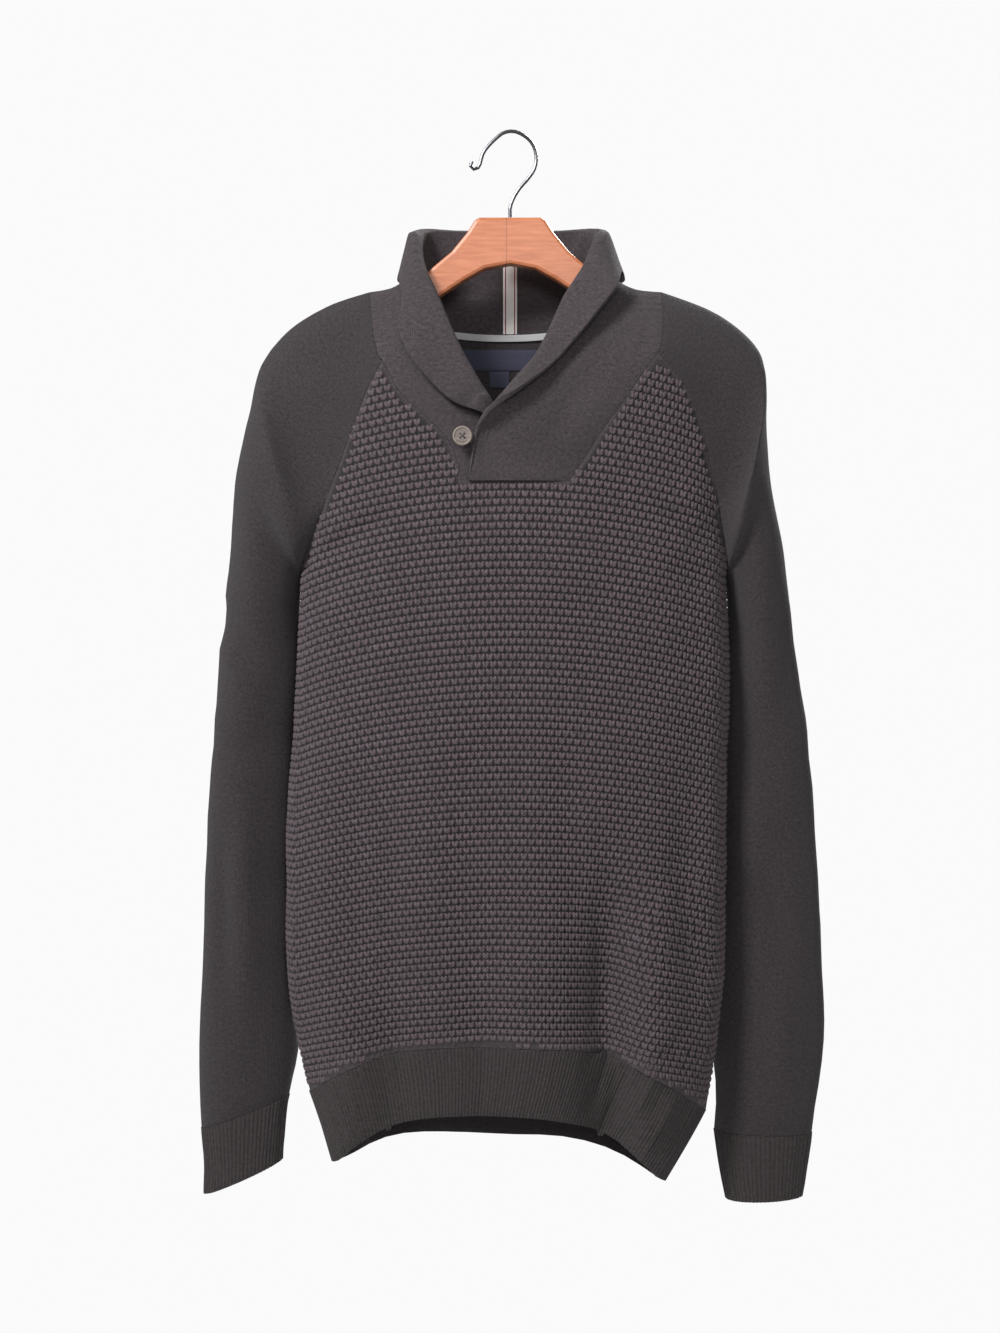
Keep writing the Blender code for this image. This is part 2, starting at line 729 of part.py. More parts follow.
def ribbed(columns, facing, lengths):
    """Ribs on a coarse grid: a finer outer grid with raised ribs, and each column's place in it."""
    fine, spans = [columns[:, 0]], [0]
    for j, length in enumerate(lengths):
        ribs = max(1, round(length / RIB_PITCH))
        for k in range(1, 2 * ribs + 1):
            share = k / (2 * ribs)
            point = columns[:, j] * (1 - share) + columns[:, j + 1] * share
            look = unit(facing[:, j] * (1 - share) + facing[:, j + 1] * share)
            fine.append(point + look * (RIB_HEIGHT if k % 2 else 0))
        spans.append(len(fine) - 1)
    return np.stack(fine, axis=1), spans


# ---------------------------------------------------------------- the pieces


def side_facing(side, levels):
    """The way a side seam faces; at the underarm it looks down, as the raglan does there."""
    run = unit(side_seam(side, levels + 1) - side_seam(side, levels - 1))
    out = np.tile(mirrored(np.array([-1.0, 0, 0]), side), (len(levels), 1))
    facing = across(out, run)
    facing[levels >= UNDERARM_LEVEL] = (0, 0, -1)
    return facing


def body_grid(panel, u, tops):
    """A panel's outer points and facings, with the seam gaps at its edges."""
    torso = UNDERARM_LEVEL + (RIB_LEVEL - UNDERARM_LEVEL) * (
        np.arange(TORSO_ROWS, 0, -1) / TORSO_ROWS
    ) ** 1.4
    rises = raglan_rises()
    levels = np.concatenate(
        [np.tile(torso[:, None], (1, len(u))), UNDERARM_LEVEL + rises[:, None] * (tops - UNDERARM_LEVEL)]
    )
    columns = np.tile(u, (len(levels), 1))
    points = body_point(panel, columns, levels)
    facing = body_facing(panel, columns, levels)
    half = SEAM_GAP / 2
    way = -1.0 if panel == "front" else 1.0
    for side, column in ((RIGHT, 0), (LEFT, -1)):
        seam, look, into_sleeve = raglan_seam(panel, side)
        points[TORSO_ROWS:, column] = seam - into_sleeve * half
        facing[TORSO_ROWS:, column] = look
        facing[:TORSO_ROWS, column] = side_facing(side, torso)
        points[: TORSO_ROWS + 1, column] += (0, way * half, 0)
    points[0, :, 2] += half
    return points, facing


def make_front(collection):
    u, tops = neck_columns()
    points, facing = body_grid("front", u, tops)
    last = NECK_COLUMNS + 1
    half = SEAM_GAP / 2
    for side, where in ((RIGHT, slice(0, last)), (LEFT, slice(-1, -last - 1, -1))):
        _, look, into_collar, _ = neck_frame(side)
        points[-1, where] -= into_collar[-last:] * half
        facing[-1, where] = look[-last:]
    points[-1, last:-last, 2] -= half
    facing[-1, last:-last] = (0, -1, 0)
    add_wall("front", points, points - facing * KNIT_WALL, "basket_knit", collection)


def make_back(collection):
    u, tops = back_columns()
    points, facing = body_grid("back", u, tops)
    half = SEAM_GAP / 2
    last = BACK_COLUMNS + 1
    for side, start, where in (
        (RIGHT, 0, slice(last - 1, None, -1)), (LEFT, 1, slice(last, None)),
    ):
        _, look, into_collar, _ = neck_frame(side)
        points[-1, where] -= into_collar[start:last] * half
        facing[-1, where] = look[start:last]
    add_wall("back", points, points - facing * KNIT_WALL, "plain_knit", collection)


def make_hem(panel, collection):
    """A rib band that carries the panel's surface on down to the hem."""
    u, _ = neck_columns() if panel == "front" else back_columns()
    levels = np.linspace(RIB_LEVEL, HEM_LEVEL, BAND_ROWS + 1)[:, None]
    columns = np.tile(u, (BAND_ROWS + 1, 1))
    points = body_point(panel, columns, levels + 0 * columns)
    facing = body_facing(panel, columns, levels + 0 * columns)
    half = SEAM_GAP / 2
    for side, column in ((RIGHT, 0), (LEFT, -1)):
        facing[:, column] = side_facing(side, levels[:, 0])
        points[:, column, 1] += -half if panel == "front" else half
    points[0, :, 2] -= half
    lengths = np.linalg.norm(np.diff(points[0], axis=0), axis=1)
    outer, spans = ribbed(points, facing, lengths)
    inner = points - facing * BAND_WALL
    add_wall("hem_" + panel, outer, inner, "rib_knit", collection, spans)


def make_sleeve(side, collection):
    places = sleeve_places()
    rings = np.stack([sleeve_ring(side, along) for along in places])
    closed_from = RAGLAN_ROWS
    facing = ring_facing(rings, closed_from)
    half = SEAM_GAP / 2
    for panel, column in (("front", 0), ("back", -1)):
        seam, look, into_sleeve = raglan_seam(panel, side)
        rings[: RAGLAN_ROWS + 1, column] = (seam + into_sleeve * half)[::-1]
        facing[: RAGLAN_ROWS + 1, column] = look[::-1]
    _, look, into_collar, _ = neck_frame(side)
    over = slice(BACK_COLUMNS, BACK_COLUMNS + 2 * HALF_RING + 1)
    rings[0] -= into_collar[over][::-1] * half
    facing[0] = look[over][::-1]
    facing[-1] = cuff_facing(side)
    rings[-1, :, 2] += half
    add_wall(
        "sleeve_" + side, rings, rings - facing * KNIT_WALL, "plain_knit", collection,
        closed_from=closed_from,
    )


def cuff_rings(side):
    places = np.linspace(CUFF_ALONG, 1, BAND_ROWS + 1)
    return np.stack([sleeve_ring(side, along) for along in places])


def cuff_facing(side):
    """The way the cloth looks at the cuff seam, shared by the sleeve and its cuff."""
    return ring_facing(cuff_rings(side), 0)[0]


def make_cuff(side, collection):
    rings = cuff_rings(side)
    facing = ring_facing(rings, 0)
    rings[0, :, 2] -= SEAM_GAP / 2
    lengths = np.linalg.norm(np.diff(rings[-1], axis=0), axis=1)
    outer, spans = ribbed(rings, facing, lengths)
    inner = rings - facing * BAND_WALL
    add_wall("cuff_" + side, outer, inner, "rib_knit", collection, spans, closed_from=0)


def collar_grid(side):
    """A collar half's base points, from the neck seam over the roll to the free edge."""
    seam, look, into_collar, places = neck_frame(side)
    seam = seam + into_collar * (SEAM_GAP / 2)
    rows = RIGHT_COLLAR if side == RIGHT else LEFT_COLLAR
    bend = smooth(rows, "along", places, "bend_x", "bend_y", "bend_z")
    roll = smooth(rows, "along", places, "roll_x", "roll_y", "roll_z")
    fall, turn = np.moveaxis(smooth(rows, "along", places, "fall", "turn"), -1, 0)
    seam[0, 0] = bend[0, 0] = roll[0, 0] = (-1 if side == RIGHT else 1) * SEAM_GAP / 2
    bend[-1, 2] = roll[-1, 2] = seam[-1, 2]
    run = tangents_of(roll)
    up = unit(roll - bend)
    out = unit(np.cross(run, up))
    out *= np.where(np.sum(out * look, axis=1, keepdims=True) > 0, 1, -1)
    out[0] = across(np.array([0, 1.0, 0]), up[0])
    out[-1] = (0, -1, 0)
    grid = []
    for t in np.linspace(0, 1, STAND_ROWS + 1):
        grid.append((1 - t) ** 2 * seam + 2 * t * (1 - t) * bend + t * t * roll)
    turn = np.maximum(turn, LEAST_TURN)
    radius = (ROLL_RADIUS * 180 / turn)[:, None]
    for k in range(1, ROLL_ROWS + 1):
        angle = np.radians(turn * k / ROLL_ROWS)[:, None]
        grid.append(roll + radius * (out * (1 - np.cos(angle)) + up * np.sin(angle)))
    angle = np.radians(turn)[:, None]
    away = up * np.cos(angle) + out * np.sin(angle)
    for k in range(1, FALL_ROWS + 1):
        grid.append(grid[STAND_ROWS + ROLL_ROWS] + away * fall[:, None] * k / FALL_ROWS)
    return np.stack(grid), look


def make_collar(side, collection):
    grid, look = collar_grid(side)
    around = np.gradient(grid, axis=1)
    up = np.gradient(grid, axis=0)
    facing = unit(np.cross(around, up))
    facing *= np.where(np.sum(facing[1] * look, axis=1).mean() > 0, 1, -1)
    facing[0] = look
    facing[:, 0] = across(facing[:, 0], np.array([1.0, 0, 0]))
    facing[:, -1] = across(facing[:, -1], np.array([0, 0, 1.0]))
    add_wall("collar_" + side, grid, grid - facing * COLLAR_WALL, "collar_knit", collection)


def inner_strip(name, face, look, wall, clearance, finish_name, collection):
    """A thin strip inside the garment, clear of a face by the given depth."""
    outer = face - look * clearance
    add_wall(name, outer, outer - look * wall, finish_name, collection)


def make_neck_tape(collection):
    """The tape over the back neck seam: half on the back, half on the collar's stand."""
    right, left = (neck_frame(side) for side in (RIGHT, LEFT))
    keep = right[3] <= NECK_TAPE_ALONG
    seam, look, up = (
        np.concatenate([right[k][keep][::-1], left[k][keep][1:]]) for k in range(3)
    )
    heights = np.array([-0.5, 0.0, 0.5])[:, None, None] * NECK_TAPE_HEIGHT
    inner_strip(
        "neck_tape", seam + up * heights, look + 0 * heights, TAPE_WALL,
        COLLAR_WALL + LYING_GAP, "grey_tape", collection,
    )


def make_back_tape(collection):
    """The striped tape up the collar's centre back seam."""
    stand = collar_grid(RIGHT)[0][: STAND_ROWS + 1, 0]
    low = stand[0, 2] + NECK_TAPE_HEIGHT / 2 + SEAM_GAP
    z = np.linspace(low, BACK_TAPE_TOP, 7)
    y = np.interp(z, stand[:, 2], stand[:, 1])
    x = np.linspace(-0.5, 0.5, 4) * BACK_TAPE_WIDTH
    face = np.stack([x + 0 * z[:, None], y[:, None] + 0 * x, z[:, None] + 0 * x], axis=-1)
    look = np.zeros_like(face) + (0, 1, 0)
    inner_strip(
        "back_tape", face, look, TAPE_WALL, COLLAR_WALL + 1.5 * LYING_GAP, "striped_tape", collection
    )


def make_label(name, sizes, collection):
    """A woven label, sewn flat inside the back neck."""
    x = sizes["centre_x"] + np.linspace(-0.5, 0.5, 7) * sizes["width"]
    z = sizes["top"] - np.linspace(1, 0, 3) * sizes["height"]
    places = np.stack([x + 0 * z[:, None], z[:, None] + 0 * x], axis=-1)
    u, level = columns_under("back", places.reshape(-1, 2))
    face = body_point("back", u, level).reshape(len(z), len(x), 3)
    look = body_facing("back", u, level).reshape(face.shape)
    inner_strip(name, face, look, LABEL_WALL, KNIT_WALL + LYING_GAP, "navy_label", collection)


def make_hanger(collection):
    """The wooden hanger: its outline, thickened, with rounded edges."""
    top = np.stack([HANGER_TOP["x"], HANGER_TOP["z"]], axis=1)
    low = np.stack([HANGER_LOW["x"], HANGER_LOW["z"]], axis=1)
    half = np.concatenate([top[1:], low[::-1]])
    flip = np.array([-1, 1])
    outline = np.concatenate([half, (half * flip)[-2::-1]])
    mesh = bmesh.new()
    mesh.faces.new([mesh.verts.new((x * MM, 0, z * MM)) for x, z in outline])
    data = bpy.data.meshes.new("hanger")
    mesh.to_mesh(data)
    mesh.free()
    hanger = add_object("hanger", data, "beech", collection)
    thick = hanger.modifiers.new("thickness", "SOLIDIFY")
    thick.thickness = HANGER_DEPTH * MM
    thick.offset = 0
    rounding = hanger.modifiers.new("rounding", "BEVEL")
    rounding.width = HANGER_EDGE * MM
    rounding.segments = 2
    rounding.limit_method = "ANGLE"
    rounding.angle_limit = math.radians(50)


def make_hook(collection):
    """The hook: one bent wire."""
    points = np.stack([HOOK["x"], 0 * HOOK["x"], HOOK["z"]], axis=1)
    length = np.concatenate([[0], np.cumsum(np.linalg.norm(np.diff(points, axis=0), axis=1))])
    rows = {"at": length, "x": points[:, 0], "z": points[:, 2]}
    at = np.linspace(0, length[-1], HOOK_POINTS)
    x, z = np.moveaxis(smooth(rows, "at", at, "x", "z"), -1, 0)
    curve = bpy.data.curves.new("hook", "CURVE")
    curve.dimensions = "3D"
    curve.bevel_depth = WIRE / 2 * MM
    curve.bevel_resolution = 2
    curve.use_fill_caps = True
    wire = curve.splines.new("POLY")
    wire.points.add(HOOK_POINTS - 1)
    for point, px, pz in zip(wire.points, x, z):
        point.co = (px * MM, 0, pz * MM, 1)
    curve.materials.append(finish("steel"))
    hook = bpy.data.objects.new("hook", curve)
    collection.objects.link(hook)


def make_button(collection, cutters):
    """The button: a turned disc with a raised rim and four holes, and its thread shank."""
    radius, rim = BUTTON_DIAMETER / 2, BUTTON_DIAMETER / 2 - BUTTON_RIM
    profile = [
        (0, BUTTON_THICKNESS - BUTTON_DISH), (rim, BUTTON_THICKNESS - BUTTON_DISH),
        (rim + 0.6, BUTTON_THICKNESS), (radius - 0.7, BUTTON_THICKNESS),
        (radius, BUTTON_THICKNESS - 0.8), (radius, 0.9), (radius - 1.2, 0), (0, 0),
    ]
    mesh = bmesh.new()
    points = [mesh.verts.new((x * MM, 0, z * MM)) for x, z in profile]
    for first, second in zip(points, points[1:]):
        mesh.edges.new((first, second))
    data = bpy.data.meshes.new("button")
    mesh.to_mesh(data)
    mesh.free()
    button = add_object("button", data, "horn", collection)
    turned = button.modifiers.new("turned", "SCREW")
    turned.steps = turned.render_steps = 20
    turned.use_merge_vertices = True
    turned.merge_threshold = 1e-5
    holes = bmesh.new()
    for k in range(4):
        angle = math.radians(45 + 90 * k)
        away = BUTTON_HOLE_SPACING / math.sqrt(2) * MM
        made = bmesh.ops.create_cone(
            holes, cap_ends=True, segments=8, radius1=BUTTON_HOLE / 2 * MM,
            radius2=BUTTON_HOLE / 2 * MM, depth=4 * BUTTON_THICKNESS * MM,
        )
        bmesh.ops.translate(
            holes, verts=made["verts"], vec=(away * math.cos(angle), away * math.sin(angle), 0)
        )
    data = bpy.data.meshes.new("button_holes")
    holes.to_mesh(data)
    holes.free()
    cutter = bpy.data.objects.new("button_holes", data)
    cutters.objects.link(cutter)
    cutter.hide_render = True
    cutter.display_type = "WIRE"
    cut = button.modifiers.new("holes", "BOOLEAN")
    cut.object = cutter
    x, y, z = BUTTON_PLACE
    for thing in (button, cutter):
        thing.location = (x * MM, y * MM, z * MM)
        thing.rotation_euler = (math.radians(90), 0, 0)
    bpy.ops.mesh.primitive_cylinder_add(
        vertices=12, radius=SHANK_DIAMETER / 2 * MM, depth=SHANK_LENGTH * MM,
        location=(x * MM, (y + SEAM_GAP + SHANK_LENGTH / 2) * MM, z * MM),
        rotation=(math.radians(90), 0, 0),
    )
    shank = bpy.context.object
    shank.name = "button_shank"
    shank.data.materials.append(finish("plain_knit"))
    for holder in list(shank.users_collection):
        holder.objects.unlink(shank)
    collection.objects.link(shank)


def build():
    for thing in list(bpy.data.objects):
        bpy.data.objects.remove(thing)
    collection = bpy.data.collections.new("shawl_collar_pullover")
    cutters = bpy.data.collections.new("cutters")
    for made in (collection, cutters):
        bpy.context.scene.collection.children.link(made)
    make_front(collection)
    make_back(collection)
    for panel in ("front", "back"):
        make_hem(panel, collection)
    for side in (RIGHT, LEFT):
        make_sleeve(side, collection)
        make_cuff(side, collection)
        make_collar(side, collection)
    make_neck_tape(collection)
    make_back_tape(collection)
    make_label("neck_label", LABEL, collection)
    make_label("size_label", SIZE_LABEL, collection)
    make_hanger(collection)
    make_hook(collection)
    make_button(collection, cutters)


build()
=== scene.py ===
# %% [markdown]
# # A shawl collar pullover on its wooden hanger
# The real thing is knitted. The front is a thick basket stitch, the back and the sleeves are a
# fine plain jersey, and the hem and the cuffs are ribbed. A two-layer shawl collar is linked to
# the neck. The solids already have the hung shape, so here each panel is taken from its solid,
# smoothed to a fine mesh, pressed with its smaller creases, and given its stitches and its yarn.

# %% Load the frame
import math

import bmesh
import bpy
import numpy as np
from mathutils import Matrix, Vector, noise
from mathutils.bvhtree import BVHTree
from mathutils.kdtree import KDTree


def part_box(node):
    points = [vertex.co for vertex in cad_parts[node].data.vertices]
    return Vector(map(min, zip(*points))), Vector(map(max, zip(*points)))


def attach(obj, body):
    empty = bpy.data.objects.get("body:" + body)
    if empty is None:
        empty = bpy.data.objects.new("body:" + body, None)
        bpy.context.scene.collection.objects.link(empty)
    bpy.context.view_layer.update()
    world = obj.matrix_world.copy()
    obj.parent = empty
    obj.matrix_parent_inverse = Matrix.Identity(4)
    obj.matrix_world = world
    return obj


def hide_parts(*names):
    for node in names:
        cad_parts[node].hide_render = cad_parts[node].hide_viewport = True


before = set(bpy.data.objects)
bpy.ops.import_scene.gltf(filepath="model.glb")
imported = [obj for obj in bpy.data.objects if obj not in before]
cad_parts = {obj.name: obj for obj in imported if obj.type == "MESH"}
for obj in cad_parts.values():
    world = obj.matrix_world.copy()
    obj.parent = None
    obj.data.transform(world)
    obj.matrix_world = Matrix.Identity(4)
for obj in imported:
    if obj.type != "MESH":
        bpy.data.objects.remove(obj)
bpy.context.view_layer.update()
print("solids loaded:", len(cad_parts))

MM = 0.001


# %% [markdown]
# ## Short tables and soft steps
# A knitter's notes are short tables, so the creases and the guide lines are kept that way: a row
# for each one, with named columns, in millimetres. A soft step lets every crease fade out.


# %% Tables, soft steps and smooth lines
def table(columns, *rows):
    """Rows of numbers as one array for each named column."""
    return dict(zip(columns.split(), np.array(rows, float).T))


def fade(value, start, end):
    """0 at start, 1 at end, with soft ends."""
    share = np.clip((value - start) / (end - start), 0, 1)
    return share * share * (3 - 2 * share)


def unit(vectors):
    """Vectors at length 1."""
    return vectors / np.maximum(np.linalg.norm(vectors, axis=-1, keepdims=True), 1e-12)


def smooth_line(points, count):
    """A row of points made smooth and even, as count points."""
    points = np.array(points, float)
    for _ in range(4):
        between = (points[:-1] + points[1:]) / 2
        rounded = (points[1:-1] * 2 + between[:-1] + between[1:]) / 4
        inner = np.stack([between[:-1], rounded], axis=1).reshape(-1, 3)
        points = np.concatenate([points[:1], inner, between[-1:], points[-1:]])
    steps = np.linalg.norm(np.diff(points, axis=0), axis=1)
    lengths = np.concatenate([[0], np.cumsum(steps)])
    at = np.linspace(0, lengths[-1], count)
    return np.stack([np.interp(at, lengths, column) for column in points.T], axis=1)


# %% [markdown]
# ## From a solid to a fine panel
# The solid of a panel is a closed wall of large faces. Welding its loose triangles and joining
# them in pairs brings back the grid it was made on. Subdivision then rounds the wall between its
# rims, and the rims stay where the seams are because their edges are creased. Subdivision also
# draws a wall inwards, so the grid is moved out again until the fine surface passes through the
# solid's own points. A small bevel on the rims gives the soft edge of knitted cloth.


# %% Fine panels from the solids
WELD = 0.02 * MM
RIM_ANGLE = math.radians(52)
RIBBED_RIM_ANGLE = math.radians(72)
RIM_ROUND = 0.55 * MM
THIN_SIDE = 4.2 * MM
FREE_HALF_WIDTH = 155 * MM
FREE_TOP = -335 * MM
FREE_LOW = -768 * MM
WIDE_CELLS = ("front", "back", "sleeve_right", "sleeve_left")
ROUNDS = 6
PAIR_ANGLE = math.radians(50)
PAIR_SKEW = math.radians(70)


def points_of(mesh):
    """A mesh's points as an array."""
    values = np.empty(len(mesh.vertices) * 3, np.float32)
    mesh.vertices.foreach_get("co", values)
    return values.reshape(-1, 3).astype(float)


def put_points(mesh, points):
    """Moves a mesh's points to new places."""
    mesh.vertices.foreach_set("co", points.astype(np.float32).ravel())
    mesh.update()


def finished(piece):
    """The piece with its modifiers worked in and taken off."""
    made = bpy.data.meshes.new_from_object(
        piece.evaluated_get(bpy.context.evaluated_depsgraph_get())
    )
    piece.modifiers.clear()
    old = piece.data
    piece.data = made
    made.name = piece.name
    if old.users == 0:
        bpy.data.meshes.remove(old)
    return piece


def new_piece(name, mesh):
    """A mesh as an object at the origin."""
    piece = bpy.data.objects.new(name, mesh)
    bpy.context.scene.collection.objects.link(piece)
    return piece


def is_rim(edge, ribbed, thin_needed):
    """Whether an edge lies on a panel's rim: a sharp one, beside a face as narrow as the wall."""
    if edge.calc_face_angle(0) < (RIBBED_RIM_ANGLE if ribbed else RIM_ANGLE):
        return False
    if not thin_needed:
        return True
    middle = (edge.verts[0].co + edge.verts[1].co) / 2
    if abs(middle.x) < FREE_HALF_WIDTH and FREE_LOW < middle.z < FREE_TOP:
        return False
    narrowest = min(side.calc_length() for face in edge.link_faces for side in face.edges)
    return narrowest < THIN_SIDE


def fine_panel(node, name, levels, ribbed=False):
    """A fine copy of a solid as one welded, smooth mesh that passes through the solid's points."""
    shape = bmesh.new()
    shape.from_mesh(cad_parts[node].data)
    bmesh.ops.remove_doubles(shape, verts=shape.verts, dist=WELD)
    bmesh.ops.join_triangles(
        shape,
        faces=shape.faces,
        angle_face_threshold=PAIR_ANGLE,
        angle_shape_threshold=PAIR_SKEW,
    )
    crease = shape.edges.layers.float.new("crease_edge")
    for edge in shape.edges:
        edge[crease] = float(is_rim(edge, ribbed, node in WIDE_CELLS))
        edge.smooth = True
    mesh = bpy.data.meshes.new(name)
    shape.to_mesh(mesh)
    shape.free()
    piece = new_piece(name, mesh)
    rounding = piece.modifiers.new("rounding", "SUBSURF")
    rounding.levels = rounding.render_levels = levels
    wanted = points_of(mesh)
    for _ in range(ROUNDS):
        view = bpy.context.evaluated_depsgraph_get()
        rounded = points_of(piece.evaluated_get(view).data)[: len(wanted)]
        put_points(mesh, points_of(mesh) + wanted - rounded)
    return finished(piece)


def soften_rims(piece, ribbed=False, width=RIM_ROUND):
    """Rounds the rims of a fine panel."""
    shape = bmesh.new()
    shape.from_mesh(piece.data)
    limit = RIBBED_RIM_ANGLE if ribbed else RIM_ANGLE
    rims = [edge for edge in shape.edges if edge.calc_face_angle(0) > limit]
    bmesh.ops.bevel(
        shape,
        geom=rims,
        offset=width,
        segments=2,
        profile=0.5,
        affect="EDGES",
        clamp_overlap=True,
    )
    shape.to_mesh(piece.data)
    shape.free()
    piece.data.shade_smooth()


LEVELS = 2
panels = {}
for node, name, ribbed in (
    ("front", "front_panel", False),
    ("back", "back_panel", False),
    ("sleeve_right", "sleeve_right_panel", False),
    ("sleeve_left", "sleeve_left_panel", False),
    ("cuff_right", "cuff_right_rib", True),
    ("cuff_left", "cuff_left_rib", True),
    ("hem_front", "hem_front_rib", True),
    ("hem_back", "hem_back_rib", True),
    ("collar_right", "collar_right_panel", False),
    ("collar_left", "collar_left_panel", False),
):
    panels[node] = fine_panel(node, name, LEVELS, ribbed)
    print(node, "has", len(panels[node].data.polygons), "faces")


# %% [markdown]
# ## Measuring round and along the cloth
# Stitches run along the yarn, not along the room, so each point of the cloth needs to know how
# far round and how far along its tube it lies. A guide line runs down the middle of the body and
# of each sleeve. Rays sent in towards an oval round the guide find the cloth, and the lengths
# between their hits give the measure round. Both measures become the cloth's UV map, in metres.

# %% Guides and the measure round and along
GUIDES = {
    "body": [(2, 2, -100), (2, 2, -520), (0, 2, -960)],
    "sleeve_right": [
        (-112, 2, -150), (-150, 4, -172), (-186, 8, -212), (-205, 12, -285), (-216, 18, -380),
        (-224, 22, -500), (-230, 25, -620), (-233, 26, -750), (-233, 22, -850), (-234, 16, -945),
    ],
    "sleeve_left": [
        (118, 2, -145), (156, 4, -168), (190, 8, -208), (204, 12, -285), (214, 18, -380),
        (222, 22, -500), (230, 25, -620), (234, 26, -750), (230, 22, -850), (222, 16, -945),
    ],
    "collar": [(0, 15, -60), (0, 5, -160), (0, -20, -330)],
}
GROUPS = {
    "body": ("front", "back", "hem_front", "hem_back"),
    "sleeve_right": ("sleeve_right", "cuff_right"),
    "sleeve_left": ("sleeve_left", "cuff_left"),
    "collar": ("collar_right", "collar_left"),
}
GUIDE_STEPS = 80
TURN_STEPS = 120
RAY_START = 250 * MM
OVALS = {
    "body": (190, 62),
    "sleeve_right": (40, 40),
    "sleeve_left": (40, 40),
    "collar": (70, 60),
}
LEAST_FOUND = 0.3
TURNS = np.linspace(-math.pi, math.pi, TURN_STEPS + 1)


class Tube:
    """The cloth round one guide line, measured from an oval round that line."""

    def __init__(self, group):
        self.line = smooth_line(GUIDES[group], GUIDE_STEPS) * MM
        self.wide, self.deep = np.array(OVALS[group]) * MM
        self.step = np.linalg.norm(self.line[1] - self.line[0])
        self.down = unit(np.gradient(self.line, axis=0))
        front = np.array([0.0, -1.0, 0.0])
        self.front = unit(front - (self.down @ front)[:, None] * self.down)
        self.side = np.cross(self.front, self.down)
        self.side *= np.sign(self.side[:, :1] + 1e-9)
        view = bpy.context.evaluated_depsgraph_get()
        self.trees = [BVHTree.FromObject(panels[node], view) for node in GROUPS[group]]
        self.reaches = np.array([self.ring(i) for i in range(GUIDE_STEPS)])
        self.fill()
        self.rounds = np.array([self.round_of(i) for i in range(GUIDE_STEPS)])

    def oval(self, turn):
        """A place on the oval and the way out from it, as parts to the side and to the front."""
        place = np.array([self.wide * np.sin(turn), self.deep * np.cos(turn)])
        return place, unit(np.array([np.sin(turn) / self.wide, np.cos(turn) / self.deep]).T).T

    def ray(self, i, turn, level=None):
        """The start and the way of a ray in towards the cloth."""
        place, way = self.oval(turn)
        frame_here = np.stack([self.side[i], self.front[i]])
        start = self.line[i] + (place + way * RAY_START) @ frame_here
        if level is not None:
            start[2] = level
        return Vector(start), Vector(-(way @ frame_here))

    def ring(self, i):
        """How far out from the oval the cloth lies at each turn, or nan."""
        reaches = []
        for turn in TURNS:
            start, inward = self.ray(i, turn)
            hits = [tree.ray_cast(start, inward, RAY_START + self.deep) for tree in self.trees]
            found = [RAY_START - hit[3] for hit in hits if hit[0] is not None]
            reaches.append(max(found) if found else math.nan)
        return reaches

    def fill(self):
        """Fills what the rays missed, round each ring and then along the guide."""
        for i, reaches in enumerate(self.reaches):
            found = ~np.isnan(reaches)
            if found.sum() > TURN_STEPS * LEAST_FOUND:
                known = TURNS[found], reaches[found]
                self.reaches[i] = np.interp(TURNS, *known, period=2 * math.pi)
        whole = [i for i in range(GUIDE_STEPS) if not np.isnan(self.reaches[i]).any()]
        for k in range(TURN_STEPS + 1):
            self.reaches[:, k] = np.interp(range(GUIDE_STEPS), whole, self.reaches[whole, k])

    def round_of(self, i):
        """The length round the cloth from its front, at each turn."""
        places, ways = self.oval(TURNS)
        cloth = (places + ways * self.reaches[i]).T
        lengths = np.concatenate([[0], np.cumsum(np.linalg.norm(np.diff(cloth, axis=0), axis=1))])
        return lengths - np.interp(0, TURNS, lengths)

    def measure(self, points):
        """How far round and along each point lies, and the way out from the guide there."""
        nearest = np.array([np.argmin(np.sum((self.line - p) ** 2, axis=1)) for p in points])
        out = points - self.line[nearest]
        ahead = np.sum(out * self.down[nearest], axis=1)
        place = np.clip(nearest + ahead / self.step, 0, GUIDE_STEPS - 1.001)
        side, front = self.side[nearest], self.front[nearest]
        sideways = np.sum(out * side, axis=1) / self.wide
        forwards = np.sum(out * front, axis=1) / self.deep
        turn = np.arctan2(sideways, forwards)
        way = self.oval(turn)[1]
        facing = way[0][:, None] * side + way[1][:, None] * front
        column = (turn + math.pi) / (2 * math.pi) * TURN_STEPS
        i, k = place.astype(int), np.clip(column.astype(int), 0, TURN_STEPS - 1)
        s, t = place - i, column - k
        near = self.rounds[i, k] * (1 - t) + self.rounds[i, k + 1] * t
        far = self.rounds[i + 1, k] * (1 - t) + self.rounds[i + 1, k + 1] * t
        return near * (1 - s) + far * s, place * self.step, facing


tubes = {group: Tube(group) for group in GROUPS}
for group, tube in tubes.items():
    print(group, "is", round(float(np.ptp(tube.rounds[GUIDE_STEPS // 2])), 3), "m round its middle")


# %% [markdown]
# ## Creases
# Gravity draws a hung pullover into long soft troughs from the shoulders, and each sleeve keeps a
# few slanting creases where the elbow was. Each crease is a line from its upper to its lower end,
# with a width and a height, and below 0 it is a trough. Its side is -1 on the front and 1 on the
# back. The cloth also waves a little everywhere. It stays calm beside the raglan seams, so that
# the panels still meet there, and each sleeve is drawn in behind the side of the body.

